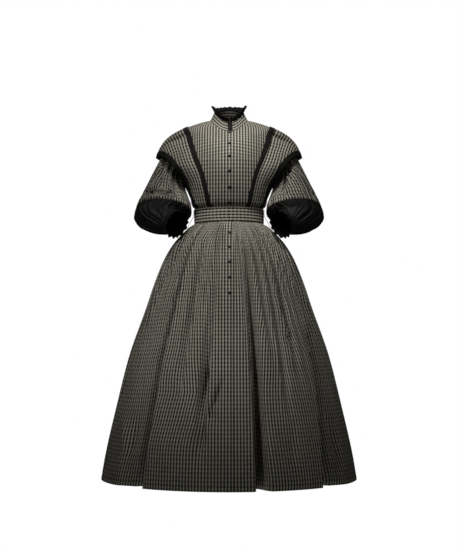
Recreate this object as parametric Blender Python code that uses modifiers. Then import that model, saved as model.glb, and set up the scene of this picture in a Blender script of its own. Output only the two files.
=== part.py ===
"""Day dress in a small check: buttoned bodice, frilled stand collar, shoulder bretelles edged in ribbon,
puffed sleeves gathered into dark bands, a belt, and a full gathered skirt, in the form it has when worn.

Frame: metres, +Z up, front towards -Y, the wearer's left at +X. The origin is centred between the
shoulders, level with the points where the shoulder seams meet the neck. A "turn" is the angle round the
body from centre front, in degrees, positive towards the wearer's left. Every piece is a grid of points on
the cloth's outer face, lofted between unlike rings, and Solidify gives it its thickness inwards.
"""

import math
from collections import namedtuple

import bpy
import numpy as np

CLOTH = 0.0012
RIBBON = 0.0010
BELT_CLOTH = 0.0015
SEAM_GAP = 0.0003
TUBE_SEAM = 0.0011
LAID_ON = SEAM_GAP + CLOTH

BUTTON_LINE = 0.004
LAP_HALF = 0.010
LAP_MARGIN = 0.002
LAP_COLUMNS = 3
LAP_SINK = CLOTH + 0.0005

WAIST = -0.362
HEM = -1.321

BELT_TOP = -0.337
BELT_BOTTOM = -0.387
BELT_CLEARANCE = 0.0012
BELT_COLUMNS = 64

BODICE_FRONT_COLUMNS = 5
BODICE_BACK_COLUMNS = 15
ARMHOLE_TOP = -0.035
ARMHOLE_BOTTOM = -0.160
ARMHOLE_HALF_TURN = 28.0
ARMHOLE_STEPS = 8

COLLAR_COLUMNS = 28
COLLAR_FRILL_WAVES = 22
FRILL_WAVE_COLUMNS = 4

RIBBON_WIDTH = 0.016
BRETELLE_INNER_COLUMNS = 4

SLEEVE_GATHERS = 16
SLEEVE_COLUMNS = 2 * SLEEVE_GATHERS
BAND_START = 7
CUFF_START = 12
CUFF_FRILL_START = 13
CUFF_FRILL_END = 14
CUFF_FRILL_WAVES = 14

SKIRT_GATHERS = 52
SKIRT_ROW_HEIGHTS = (HEM, -1.19, -1.05, -0.90, -0.76, -0.64, -0.55, -0.48, -0.43, -0.400, -0.387, -0.3623)
GATHERS_CLEAR_OF_LAP = 9.5

BUTTON_RADIUS = 0.0055
BUTTON_HEIGHT = 0.0038
BUTTON_SIDES = 8
BUTTON_SEAT = 0.0004
BODICE_BUTTON_HEIGHTS = (-0.060, -0.106, -0.156, -0.211, -0.268, -0.321)
SKIRT_BUTTON_FIRST = -0.435
SKIRT_BUTTON_SPACING = 0.0557
SKIRT_BUTTON_COUNT = 5

BELT_LOOP_DIAMETER = 0.002

# Rings of the bodice, waist to neck, and of the collar. A ring's height is given at the sides, centre front
# and centre back, and "corner" is the share by which it is drawn in between those.
BodyRing = namedtuple("BodyRing", "side half_width front_depth back_depth front back corner")
BODICE = [
    BodyRing(-0.362, 0.1255, 0.100, 0.087, -0.362, -0.362, 0.00),
    BodyRing(-0.334, 0.1262, 0.101, 0.088, -0.334, -0.334, 0.00),
    BodyRing(-0.322, 0.1365, 0.115, 0.098, -0.322, -0.322, 0.00),
    BodyRing(-0.300, 0.1420, 0.124, 0.105, -0.300, -0.300, 0.00),
    BodyRing(-0.250, 0.1480, 0.136, 0.111, -0.250, -0.250, 0.00),
    BodyRing(-0.200, 0.1530, 0.142, 0.114, -0.200, -0.200, 0.00),
    BodyRing(-0.160, 0.1600, 0.138, 0.116, -0.160, -0.160, 0.00),
    BodyRing(-0.110, 0.1680, 0.126, 0.115, -0.125, -0.115, 0.01),
    BodyRing(-0.070, 0.1730, 0.115, 0.110, -0.104, -0.082, 0.03),
    BodyRing(-0.035, 0.1720, 0.105, 0.100, -0.088, -0.050, 0.05),
    BodyRing(-0.023, 0.1480, 0.098, 0.090, -0.078, -0.025, 0.02),
    BodyRing(-0.013, 0.1200, 0.090, 0.081, -0.068, -0.005, 0.00),
    BodyRing(-0.004, 0.0890, 0.080, 0.073, -0.059, 0.012, 0.00),
    BodyRing(0.000, 0.0700, 0.072, 0.068, -0.052, 0.022, 0.00),
]
COLLAR = [
    BodyRing(0.0010, 0.0700, 0.0720, 0.0680, -0.0508, 0.0232, 0.00),
    BodyRing(0.0160, 0.0615, 0.0650, 0.0605, -0.0345, 0.0380, 0.00),
    BodyRing(0.0310, 0.0555, 0.0600, 0.0545, -0.0173, 0.0525, 0.00),
]

# The shoulder bretelle, front waist to shoulder. Its inner edge is a place on the bodice. Its outer edge is
# a point, "fall" is the way the cloth runs off that edge, and "swell" is how far the cloth stands out
# between the two. The back repeats the rows with its own depth.
BretelleRow = namedtuple("BretelleRow", "height turn edge_x edge_z front_y back_y fall_x fall_y fall_z swell")
BRETELLE = [
    BretelleRow(-0.333, 28.0, 0.1180, -0.333, -0.043, 0.037, 0.42, 0.90, 0.00, 1.03),
    BretelleRow(-0.322, 28.5, 0.1275, -0.322, -0.048, 0.041, 0.42, 0.90, 0.00, 1.03),
    BretelleRow(-0.300, 29.5, 0.1385, -0.300, -0.043, 0.036, 0.45, 0.88, 0.00, 1.03),
    BretelleRow(-0.250, 33.0, 0.1600, -0.252, -0.060, 0.052, 0.75, 0.60, -0.20, 1.10),
    BretelleRow(-0.205, 37.5, 0.1790, -0.225, -0.082, 0.076, 0.85, 0.25, -0.45, 1.20),
    BretelleRow(-0.160, 43.5, 0.2020, -0.190, -0.101, 0.097, 0.70, 0.15, -0.70, 1.30),
    BretelleRow(-0.100, 49.0, 0.2260, -0.163, -0.096, 0.094, 0.45, 0.25, -0.85, 1.50),
    BretelleRow(-0.055, 55.0, 0.2500, -0.153, -0.066, 0.065, 0.35, 0.25, -0.90, 1.60),
    BretelleRow(-0.033, 62.5, 0.2620, -0.150, -0.038, 0.037, 0.28, 0.12, -0.95, 1.40),
    BretelleRow(-0.0245, 90.0, 0.2690, -0.149, 0.000, 0.000, 0.22, 0.00, -0.97, 1.12),
]
BRETELLE_LOFT = 0.0014

# Rings of the sleeve, shoulder to wrist: the outer and the under point of each, its middle's depth, half
# its size front to back, how far its plane tips forward, in degrees, and the height of its gathers.
SleeveRing = namedtuple("SleeveRing", "outer_x outer_z under_x under_z middle_y half_depth tip gather")
SLEEVE = [
    SleeveRing(0.172, -0.035, 0.160, -0.160, 0.000, 0.058, 0, 0.0004),
    SleeveRing(0.198, -0.065, 0.163, -0.176, 0.000, 0.054, 0, 0.0012),
    SleeveRing(0.231, -0.104, 0.166, -0.200, 0.000, 0.066, 2, 0.0014),
    SleeveRing(0.258, -0.150, 0.169, -0.232, 0.000, 0.080, 5, 0.0012),
    SleeveRing(0.283, -0.200, 0.168, -0.265, -0.004, 0.090, 8, 0.0008),
    SleeveRing(0.305, -0.248, 0.157, -0.300, -0.012, 0.094, 12, 0.0008),
    SleeveRing(0.326, -0.292, 0.149, -0.327, -0.022, 0.095, 16, 0.0012),
    SleeveRing(0.341, -0.332, 0.146, -0.347, -0.032, 0.093, 20, 0.0016),
    SleeveRing(0.349, -0.366, 0.149, -0.356, -0.042, 0.088, 24, 0.0020),
    SleeveRing(0.333, -0.394, 0.157, -0.357, -0.055, 0.079, 28, 0.0026),
    SleeveRing(0.300, -0.413, 0.164, -0.354, -0.070, 0.068, 32, 0.0028),
    SleeveRing(0.262, -0.426, 0.172, -0.350, -0.085, 0.056, 36, 0.0022),
    SleeveRing(0.226, -0.434, 0.181, -0.352, -0.100, 0.046, 40, 0.0006),
    SleeveRing(0.218, -0.437, 0.173, -0.356, -0.108, 0.046, 40, 0.0004),
    SleeveRing(0.214, -0.447, 0.161, -0.357, -0.117, 0.051, 40, 0.0004),
]

# The skirt's outline from waist to hem, and the height of the gathers that fade down it.
SkirtRing = namedtuple("SkirtRing", "height half_width front_share back_share gather")
SKIRT = [
    SkirtRing(-1.321, 0.466, 0.944, 1.010, 0.0000),
    SkirtRing(-1.232, 0.451, 0.944, 1.005, 0.0000),
    SkirtRing(-1.055, 0.411, 0.942, 0.990, 0.0000),
    SkirtRing(-0.877, 0.366, 0.935, 0.970, 0.0004),
    SkirtRing(-0.700, 0.303, 0.920, 0.935, 0.0012),
    SkirtRing(-0.611, 0.272, 0.905, 0.910, 0.0020),
    SkirtRing(-0.522, 0.235, 0.880, 0.875, 0.0030),
    SkirtRing(-0.4665, 0.202, 0.855, 0.835, 0.0034),
    SkirtRing(-0.430, 0.172, 0.835, 0.790, 0.0034),
    SkirtRing(-0.400, 0.142, 0.815, 0.740, 0.0026),
    SkirtRing(-0.387, 0.1265, 0.800, 0.700, 0.0004),
    SkirtRing(-0.362, 0.1255, 0.797, 0.693, 0.0004),
]

# The skirt's large folds: where each lies, top and foot, its depth there, how wide it is on the side
# towards centre front and on the other, and the heights it runs between.
Fold = namedtuple("Fold", "top_turn foot_turn top_depth foot_depth near_width far_width top foot")
SKIRT_FOLDS = [
    Fold(-36, -39, 0.006, 0.050, 4.0, 17.0, -0.46, HEM),
    Fold(-9, -12, 0.004, 0.010, 5.0, 5.0, -0.60, -1.10),
    Fold(14, 11, 0.004, 0.026, 4.5, 6.0, -0.46, HEM),
    Fold(42, 38, 0.012, 0.008, 5.0, 7.0, -0.44, -0.85),
    Fold(54, 43, 0.004, 0.048, 4.0, 17.0, -0.80, HEM),
    Fold(68, 62, 0.016, 0.010, 7.0, 7.0, -0.44, -0.95),
    Fold(-66, -63, 0.014, 0.008, 6.0, 7.0, -0.44, -0.90),
    Fold(112, 115, 0.008, 0.036, 12.0, 5.0, -0.46, HEM),
    Fold(140, 137, 0.012, 0.012, 6.0, 6.0, -0.44, -0.95),
    Fold(158, 155, 0.004, 0.044, 5.0, 15.0, -0.70, HEM),
    Fold(-164, -160, 0.008, 0.030, 5.0, 8.0, -0.46, HEM),
    Fold(-134, -132, 0.008, 0.044, 14.0, 5.0, -0.50, HEM),
    Fold(-110, -112, 0.010, 0.012, 6.0, 6.0, -0.44, -1.00),
]


def column(table, name):
    """One named column of a table."""
    return np.array([getattr(row, name) for row in table], dtype=float)


def smooth(keys, values, at):
    """The smooth curve through (keys, values), read at `at`, with no overshoot between its points."""
    at = np.asarray(at, dtype=float)
    step = np.diff(keys)
    slope = np.diff(values) / step
    product = slope[:-1] * slope[1:]
    total = np.where(product > 0, slope[:-1] + slope[1:], 1.0)
    bend = np.where(product > 0, 2 * product / total, 0.0)
    tangent = np.concatenate([slope[:1], bend, slope[-1:]])
    k = np.clip(np.searchsorted(keys, at, side="right") - 1, 0, len(step) - 1)
    t = (at - keys[k]) / step[k]
    start = (1 + 2 * t) * (1 - t) ** 2 * values[k] + t * (1 - t) ** 2 * step[k] * tangent[k]
    finish = t * t * (3 - 2 * t) * values[k + 1] + t * t * (t - 1) * step[k] * tangent[k + 1]
    return start + finish


def read(table, key, name, at):
    """The column `name` of a table, read smoothly where the column `key` is `at`."""
    return smooth(column(table, key), column(table, name), at)


def ring_points(table, side, turn):
    """Points on a body of rings: `side` is the ring's height at its sides, `turn` the angle round it."""
    side, turn = np.broadcast_arrays(np.asarray(side, float), np.radians(turn))
    across, along = np.sin(turn), np.cos(turn)
    in_front = along >= 0
    front_depth = read(table, "side", "front_depth", side)
    back_depth = read(table, "side", "back_depth", side)
    level = np.where(in_front, read(table, "side", "front", side), read(table, "side", "back", side))
    drawn_in = 1 - read(table, "side", "corner", side) * np.sin(2 * turn) ** 2
    x = read(table, "side", "half_width", side) * across * drawn_in
    y = -np.where(in_front, front_depth, back_depth) * along
    z = side + (level - side) * along**2
    return np.stack([x, y, z], axis=-1)


def normals(points, closed=False):
    """Unit normals of a grid of points, outwards when rows run up and columns run to the left."""
    rise = np.gradient(points, axis=0)
    if closed:
        run = np.roll(points, -1, axis=1) - np.roll(points, 1, axis=1)
    else:
        run = np.gradient(points, axis=1)
    return unit(np.cross(run, rise))


def unit(vectors):
    """The same vectors at length 1."""
    return vectors / np.linalg.norm(vectors, axis=-1, keepdims=True)


def moved_out(points, distance, closed=False):
    """The same grid of points, moved out along its normals."""
    return points + normals(points, closed) * distance


def cloth(name, points, thickness, material, closed=False, mirrored=False):
    """A piece of cloth whose outer face is a grid of points, with Solidify for its thickness."""
    rows, columns = points.shape[:2]
    across = columns if closed else columns - 1
    i, j = np.meshgrid(np.arange(rows - 1), np.arange(across), indexing="ij")
    near, far = i * columns + j, i * columns + (j + 1) % columns
    faces = np.stack([near, far, far + columns, near + columns], axis=-1).reshape(-1, 4)
    points = points.reshape(-1, 3)
    if mirrored:
        points = points * (-1, 1, 1)
        faces = faces[:, [0, 3, 2, 1]]
    mesh = bpy.data.meshes.new(name)
    mesh.from_pydata(points.tolist(), [], faces.tolist())
    mesh.shade_smooth()
    obj = add_object(name, mesh, material)
    split = obj.modifiers.new("Triangles", "TRIANGULATE")
    split.quad_method = "FIXED"
    wall = obj.modifiers.new("Thickness", "SOLIDIFY")
    wall.thickness = thickness
    wall.offset = -1
    wall.use_even_offset = False
    return obj


def add_object(name, data, material):
    """Put a mesh or curve in the dress's collection, under its own name."""
    data.materials.append(material)
    obj = bpy.data.objects.new(name, data)
    collection().objects.link(obj)
    return obj


def collection():
    """The dress's collection, made the first time it is asked for."""
    found = bpy.data.collections.get("dress")
    if found is None:
        found = bpy.data.collections.new("dress")
        bpy.context.scene.collection.children.link(found)
    return found


def material_for(name, colour, roughness):
    """A plain dielectric material for one piece."""
    material = bpy.data.materials.new(name)
    material.use_nodes = True
    shader = material.node_tree.nodes["Principled BSDF"]
    shader.inputs["Base Color"].default_value = (*colour, 1.0)
    shader.inputs["Roughness"].default_value = roughness
    shader.inputs["Metallic"].default_value = 0.0
    return material


def check_cloth(name):
    return material_for(name, (0.16, 0.145, 0.12), 0.85)


def dark_ribbon(name):
    return material_for(name, (0.012, 0.011, 0.010), 0.55)


def armhole_angles():
    """Angles down the armhole's edge, underarm to shoulder point."""
    return np.radians(np.linspace(180.0, 0.0, ARMHOLE_STEPS + 1))


def armhole_heights(angle):
    middle = (ARMHOLE_TOP + ARMHOLE_BOTTOM) / 2
    return middle + (ARMHOLE_TOP - ARMHOLE_BOTTOM) / 2 * np.cos(angle)


def bodice_rows():
    """Side heights of the bodice's rows, waist to neck."""
    below = column(BODICE, "side")[:6]
    above = column(BODICE, "side")[10:]
    rows = np.concatenate([below, armhole_heights(armhole_angles()), above])
    rows[0] = WAIST + SEAM_GAP / 2
    return rows


def armhole_opening(rows):
    """How far, in degrees, the armhole cuts into the bodice from its side line at each row."""
    middle = (ARMHOLE_TOP + ARMHOLE_BOTTOM) / 2
    reach = (rows - middle) / (ARMHOLE_TOP - middle)
    return ARMHOLE_HALF_TURN * np.sqrt(np.clip(1 - reach**2, 0, None))


def lap_turns(half_width, laps_over):
    """Turns of the columns of a front that lie in the button lap, centre edge first."""
    side = -1 if laps_over else 1
    edge = BUTTON_LINE - side * LAP_HALF
    inside = BUTTON_LINE + side * (LAP_HALF + LAP_MARGIN)
    places = np.array([edge, BUTTON_LINE, inside])
    return np.degrees(np.arcsin(places / half_width[:, None]))


def sink_under_lap(points):
    """Lower the lap columns of the front that lies underneath."""
    lowered = points.copy()
    lowered[:, :LAP_COLUMNS] -= normals(points)[:, :LAP_COLUMNS] * LAP_SINK
    return lowered


def seam_turn(reach, step):
    """The turn that a panel stops short of a lengthwise seam, so that its inner edge clears it too. At a
    seam on the side line `reach` is the ring's depth, and at centre back it is the ring's half width."""
    clearance = SEAM_GAP / 2 + CLOTH * np.sin(np.radians(step / 2))
    return np.degrees(clearance / reach)


def bodice_front(side):
    """Points of one front. `side` is -1 for the right, which laps over, and 1 for the left."""
    rows = bodice_rows()
    half_width = read(BODICE, "side", "half_width", rows)
    lap = lap_turns(half_width, side < 0)
    inside = lap[:, -1]
    open_turn = armhole_opening(rows)
    outer = 90.0 - open_turn
    outer -= seam_turn(read(BODICE, "side", "front_depth", rows), 90.0 / BODICE_FRONT_COLUMNS)
    share = np.linspace(0.0, 1.0, BODICE_FRONT_COLUMNS + 1)
    spread = inside[:, None] + (side * outer - inside)[:, None] * share
    turns = np.concatenate([lap[:, :-1], spread], axis=1)
    points = ring_points(BODICE, rows[:, None], turns)
    if side > 0:
        points = sink_under_lap(points)
    return points


def make_bodice():
    right = bodice_front(-1)[:, ::-1]
    left = bodice_front(1)
    cloth("bodice_front_right", right, CLOTH, check_cloth("bodice_front_right"))
    cloth("bodice_front_left", left, CLOTH, check_cloth("bodice_front_left"))

    rows = bodice_rows()
    start = 90.0 + armhole_opening(rows)
    start += seam_turn(read(BODICE, "side", "back_depth", rows), 180.0 / BODICE_BACK_COLUMNS)
    share = np.linspace(0.0, 1.0, BODICE_BACK_COLUMNS + 1)
    turns = start[:, None] + (360.0 - 2 * start)[:, None] * share
    back = ring_points(BODICE, rows[:, None], turns)
    cloth("bodice_back", back, CLOTH, check_cloth("bodice_back"))


def make_collar():
    rows = np.array([COLLAR[0].side, COLLAR[1].side, COLLAR[2].side])
    half_width = read(COLLAR, "side", "half_width", rows)
    start = np.degrees(np.arcsin((BUTTON_LINE + SEAM_GAP) / half_width))
    finish = np.degrees(np.arcsin((BUTTON_LINE - SEAM_GAP) / half_width)) + 360.0
    share = np.linspace(0.0, 1.0, COLLAR_COLUMNS + 1)
    turns = start[:, None] + (finish - start)[:, None] * share
    band = ring_points(COLLAR, rows[:, None], turns)
    cloth("collar", band, CLOTH, check_cloth("collar"))


def make_collar_frill():
    """A narrow frill that stands up from the collar's top edge and leans out as it rises."""
    frill_width, end_width = 0.015, 0.35
    foot_wave, top_wave, lean_out = 0.0004, 0.0032, 0.005
    seat = 0.0009
    columns = COLLAR_FRILL_WAVES * FRILL_WAVE_COLUMNS
    half_width = COLLAR[-1].half_width
    start = math.degrees(math.asin((BUTTON_LINE + 2 * SEAM_GAP) / half_width))
    turns = np.linspace(start, 360.0 + start - 2.0, columns + 1)
    foot = ring_points(COLLAR, COLLAR[-1].side, turns)
    angle = np.radians(turns)
    outward = np.stack([np.sin(angle), -np.cos(angle), np.zeros_like(angle)], axis=-1)
    wave = np.sin(np.arange(columns + 1) * 2 * np.pi / FRILL_WAVE_COLUMNS)[:, None]
    from_end = np.minimum(np.arange(columns + 1), np.arange(columns + 1)[::-1])[:, None]
    width = frill_width * np.clip(end_width + from_end / (2 * FRILL_WAVE_COLUMNS), 0, 1)
    low = foot + outward * foot_wave * wave + (0, 0, seat)
    high = foot + outward * (lean_out + top_wave * wave) * width / frill_width
    high = high + (0, 0, seat) + (0, 0, 1) * width
    cloth("collar_frill", np.stack([low, high]), RIBBON, dark_ribbon("collar_frill"))


def make_front_frill():
    """The short frill that runs down the collar's front edges, over their meeting line."""
    half_width = 0.007
    top, foot, waves = -0.016, -0.051, 4
    lift, wave = 0.0016, 0.0022
    count = 2 * waves + 1
    heights = np.linspace(foot, top, count)
    depths = smooth(column(COLLAR, "front"), -column(COLLAR, "front_depth"), heights)
    ripple = wave * (np.arange(count) % 2)
    middle = np.stack([np.full(count, BUTTON_LINE), depths - lift, heights], axis=-1)
    right_edge = middle + np.stack([np.full(count, -half_width), -ripple, np.zeros(count)], axis=-1)
    left_edge = middle + np.stack([np.full(count, half_width), ripple - wave, np.zeros(count)], axis=-1)
    grid = np.stack([right_edge, middle, left_edge], axis=1)
    cloth("front_frill", grid, RIBBON, dark_ribbon("front_frill"))


def bretelle_table():
    """The bretelle's rows, front waist over the shoulder to back waist."""
    front = [row._replace(back_y=0.0) for row in BRETELLE]
    back = [
        row._replace(turn=180.0 - row.turn, front_y=row.back_y, back_y=0.0, fall_y=-row.fall_y)
        for row in BRETELLE[-2::-1]
    ]
    return front + back


def bretelle_points():
    """The left bretelle: rows run from its outer to its inner edge, columns from front to back."""
    table = bretelle_table()
    keys = np.arange(len(table), dtype=float)
    at = np.unique(np.concatenate([keys, keys[3:-4] + 0.5]))

    def along(name):
        return smooth(keys, column(table, name), at)

    def edge_vector(x, y, z):
        return np.stack([along(x), along(y), along(z)], axis=-1)

    height, turn = along("height"), along("turn")
    on_bodice = ring_points(BODICE, height, turn)
    around = ring_points(BODICE, height, turn + 0.5) - on_bodice
    facing = unit(np.cross(around, ring_points(BODICE, height + 0.001, turn) - on_bodice))
    inner = on_bodice + facing * (LAID_ON + BRETELLE_LOFT)
    outer = edge_vector("edge_x", "front_y", "edge_z")
    width = np.linalg.norm(outer - inner, axis=-1, keepdims=True)
    pull = width * along("swell")[:, None]
    leave = unit(np.cross(np.gradient(inner, axis=0), facing)) * pull
    fall = unit(edge_vector("fall_x", "fall_y", "fall_z")) * pull

    edge = RIBBON_WIDTH / width
    middle = np.linspace(0.0, 1.0, BRETELLE_INNER_COLUMNS)
    shares = [0 * edge] + [edge + (1 - 2 * edge) * share for share in middle] + [0 * edge + 1]
    columns = []
    for t in shares:
        start = (1 + 2 * t) * (1 - t) ** 2 * inner + t * (1 - t) ** 2 * leave
        finish = t * t * (3 - 2 * t) * outer + t * t * (t - 1) * fall
        columns.append(start + finish)
    return np.stack(columns[::-1])


def make_bretelles():
    wing = bretelle_points()
    laid = moved_out(wing, SEAM_GAP + RIBBON)
    for name, mirrored in (("left", False), ("right", True)):
        cloth(f"bretelle_{name}", wing, CLOTH, check_cloth(f"bretelle_{name}"), mirrored=mirrored)
        outer, inner = f"trim_outer_{name}", f"trim_inner_{name}"
        cloth(outer, laid[:2], RIBBON, dark_ribbon(outer), mirrored=mirrored)
        cloth(inner, laid[-2:], RIBBON, dark_ribbon(inner), mirrored=mirrored)


def sleeve_points(rows, angles):
    """Points of the left sleeve's rings, which `rows` counts down the sleeve. An angle of 0 is the outer
    line, 90 the front, 180 the underarm line."""
    keys = np.arange(len(SLEEVE), dtype=float)
    rows = np.asarray(rows, dtype=float)[:, None]
    angle = np.radians(np.asarray(angles))[None, :]

    def at(name):
        return smooth(keys, column(SLEEVE, name), rows)

    outer_x, outer_z, under_x, under_z = at("outer_x"), at("outer_z"), at("under_x"), at("under_z")
    half = np.hypot(outer_x - under_x, outer_z - under_z) / 2
    lateral_x = (outer_x - under_x) / (2 * half)
    lateral_z = (outer_z - under_z) / (2 * half)
    tip = np.radians(at("tip"))
    gather = at("gather") * np.cos(SLEEVE_GATHERS * angle)
    wide = (half + gather) * np.cos(angle)
    deep = (at("half_depth") + gather) * np.sin(angle)
    x = (outer_x + under_x) / 2 + wide * lateral_x - deep * np.sin(tip) * lateral_z
    y = at("middle_y") - deep * np.cos(tip)
    z = (outer_z + under_z) / 2 + wide * lateral_z + deep * np.sin(tip) * lateral_x
    return np.stack([x, y, z], axis=-1)


def armhole_edge():
    """The sleeve's first ring: the armhole's edge on the bodice, a seam's gap further out."""
    angle = armhole_angles()[::-1]
    rows = armhole_heights(angle)
    cut = armhole_opening(rows)
    front = ring_points(BODICE, rows, 90.0 - cut)
    back = ring_points(BODICE, rows, 90.0 + cut)
    edge = np.concatenate([front, back[-2:0:-1], front[:1]])
    known = np.linspace(0.0, 360.0, len(edge))
    wanted = np.linspace(0.0, 360.0, SLEEVE_COLUMNS, endpoint=False)
    ring = np.stack([np.interp(wanted, known, edge[:, axis]) for axis in range(3)], axis=-1)
    return ring + (2 * SEAM_GAP, 0, 0)


def tube_part(first, last, count):
    """Rings of the sleeve between two rows, a seam's gap short at both ends, from the lower one up, so
    that the faces point outwards."""
    angles = np.linspace(0.0, 360.0, SLEEVE_COLUMNS, endpoint=False)
    rings = sleeve_points(np.linspace(first, last, count + 1), angles)
    rings[0] += unit(rings[1] - rings[0]) * TUBE_SEAM / 2
    rings[-1] -= unit(rings[-1] - rings[-2]) * TUBE_SEAM / 2
    return rings[::-1, ::-1]


def make_sleeves():
    sleeve = tube_part(0, BAND_START, BAND_START)
    sleeve[-1] = armhole_edge()[::-1]
    band = tube_part(BAND_START, CUFF_START, CUFF_START - BAND_START)
    cuff = tube_part(CUFF_START, CUFF_FRILL_START, 1)
    for name, mirrored in (("left", False), ("right", True)):
        for piece, points, look, thickness in (
            (f"sleeve_{name}", sleeve, check_cloth, CLOTH),
            (f"sleeve_band_{name}", band, dark_ribbon, CLOTH),
            (f"cuff_{name}", cuff, dark_ribbon, CLOTH),
            (f"cuff_frill_{name}", cuff_frill_points(), dark_ribbon, RIBBON),
        ):
            cloth(piece, points, thickness, look(piece), closed=True, mirrored=mirrored)


def cuff_frill_points():
    """The frill below the cuff: waves that open out from its foot seam to its free edge."""
    foot_wave, edge_wave = 0.0004, 0.0030
    columns = CUFF_FRILL_WAVES * FRILL_WAVE_COLUMNS
    angles = np.linspace(0.0, 360.0, columns, endpoint=False)
    seam = 0.03
    rings = sleeve_points([CUFF_FRILL_START + seam, CUFF_FRILL_END], angles)
    middle = rings.mean(axis=1, keepdims=True)
    outward = unit(rings - middle)
    wave = np.sin(np.arange(columns) * 2 * np.pi / FRILL_WAVE_COLUMNS)[None, :, None]
    height = np.array([foot_wave, edge_wave])[:, None, None]
    return (rings + outward * height * wave)[::-1, ::-1]


def fold_depth(height, turn):
    """How far the large folds pull the skirt in, at a height and a turn."""
    depth = np.zeros(np.broadcast(height, turn).shape)
    for fold in SKIRT_FOLDS:
        down = np.clip((height - fold.top) / (fold.foot - fold.top), 0, 1)
        middle = fold.top_turn + (fold.foot_turn - fold.top_turn) * down
        away = (turn - middle) * np.sign(middle)
        width = np.where(away < 0, fold.near_width, fold.far_width)
        across = 0.5 + 0.5 * np.cos(np.pi * np.clip(np.abs(away) / width, 0, 1))
        size = fold.top_depth + (fold.foot_depth - fold.top_depth) * down
        begins = np.clip((fold.top + 0.06 - height) / 0.10, 0, 1)
        ends = 1.0 if fold.foot <= HEM else np.clip((height - fold.foot + 0.10) / 0.20, 0, 1)
        depth = depth + size * across * begins * ends
    return depth


def skirt_points(height, turn):
    """Points on the skirt's outer face."""
    height, turn = np.broadcast_arrays(np.asarray(height, float), np.asarray(turn, float))
    angle = np.radians(turn)
    front = np.cos(angle) >= 0
    half_width = read(SKIRT, "height", "half_width", height)
    front_share = read(SKIRT, "height", "front_share", height)
    back_share = read(SKIRT, "height", "back_share", height)
    share = np.where(front, front_share, back_share)
    gathered = np.abs(turn) > GATHERS_CLEAR_OF_LAP
    gather = read(SKIRT, "height", "gather", height) * np.cos(SKIRT_GATHERS * angle) * gathered
    out = -gather - fold_depth(height, turn)
    x = (half_width + out) * np.sin(angle)
    y = -(half_width * share + out) * np.cos(angle)
    return np.stack([x, y, height], axis=-1)


def skirt_front(side):
    """Points of one skirt front. `side` is -1 for the right, which laps over, and 1 for the left."""
    rows = np.array(SKIRT_ROW_HEIGHTS)
    half_width = read(SKIRT, "height", "half_width", rows)
    step = 180.0 / SKIRT_GATHERS
    regular = side * step * np.arange(3, SKIRT_GATHERS // 2 + 1)
    turns = np.concatenate([lap_turns(half_width, side < 0), np.tile(regular, (len(rows), 1))], axis=1)
    reach = half_width * column(SKIRT, "front_share").min()
    turns[:, -1] -= side * seam_turn(reach, step)
    points = skirt_points(rows[:, None], turns)
    if side > 0:
        points = sink_under_lap(points)
    return points


def skirt_back(side):
    """Points of one skirt back, side seam to centre back."""
    rows = np.array(SKIRT_ROW_HEIGHTS)
    step = 180.0 / SKIRT_GATHERS
    turns = np.tile(side * step * np.arange(SKIRT_GATHERS // 2, SKIRT_GATHERS + 1), (len(rows), 1))
    reach = read(SKIRT, "height", "half_width", rows) * column(SKIRT, "back_share").min()
    short = side * seam_turn(reach, step)
    turns[:, 0] += short
    turns[:, -1] -= short
    return skirt_points(rows[:, None], turns)


def make_skirt():
    cloth("skirt_front_right", skirt_front(-1)[:, ::-1], CLOTH, check_cloth("skirt_front_right"))
    cloth("skirt_front_left", skirt_front(1), CLOTH, check_cloth("skirt_front_left"))
    cloth("skirt_back_right", skirt_back(-1)[:, ::-1], CLOTH, check_cloth("skirt_back_right"))
    cloth("skirt_back_left", skirt_back(1), CLOTH, check_cloth("skirt_back_left"))


def make_belt():
    """A plain band round the waist seam, clear of the bodice above it and the gathers below it."""
    out = BELT_CLEARANCE + BELT_CLOTH
    ring = SKIRT[-2]
    half_width = ring.half_width + out
    front_depth = ring.half_width * ring.front_share + out
    back_depth = ring.half_width * ring.back_share + out
    turns = np.radians(np.linspace(0.0, 360.0, BELT_COLUMNS, endpoint=False))
    depth = np.where(np.cos(turns) >= 0, front_depth, back_depth)
    outline = np.stack([half_width * np.sin(turns), -depth * np.cos(turns)], axis=-1)
    rows = [np.column_stack([outline, np.full(BELT_COLUMNS, z)]) for z in (BELT_BOTTOM, BELT_TOP)]
    cloth("belt", np.stack(rows), BELT_CLOTH, check_cloth("belt"), closed=True)


def make_belt_loops():
    """The slack thread carriers that hold the belt: each starts on the bodice's side seam, hangs out from
    the belt and ends on the skirt's side seam."""
    seat = SEAM_GAP + BELT_LOOP_DIAMETER / 2
    foot = -0.4093
    heights = np.array(SKIRT_ROW_HEIGHTS)
    skirt_side = float(np.interp(foot, heights, skirt_points(heights, 90.0)[:, 0]))
    belt_face = SKIRT[-2].half_width + BELT_CLEARANCE + BELT_CLOTH + seat
    route = (
        (BODICE[1].half_width + 1.3 * seat, BODICE[1].side),
        (belt_face, BELT_TOP + 0.0005),
        (belt_face + 0.0005, -0.355),
        (0.1370, -0.370),
        (0.1455, -0.384),
        (0.1510, -0.396),
        (skirt_side + 1.5 * seat, foot),
    )
    for name, side in (("left", 1), ("right", -1)):
        points = loop_route(route)
        curve = bpy.data.curves.new(f"belt_loop_{name}", "CURVE")
        curve.dimensions = "3D"
        curve.bevel_depth = BELT_LOOP_DIAMETER / 2
        curve.bevel_resolution = 1
        curve.use_fill_caps = True
        spline = curve.splines.new("POLY")
        spline.points.add(len(points) - 1)
        for point, (x, z) in zip(spline.points, points):
            point.co = (side * x, 0.0, z, 1.0)
        add_object(f"belt_loop_{name}", curve, dark_ribbon(f"belt_loop_{name}"))


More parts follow.
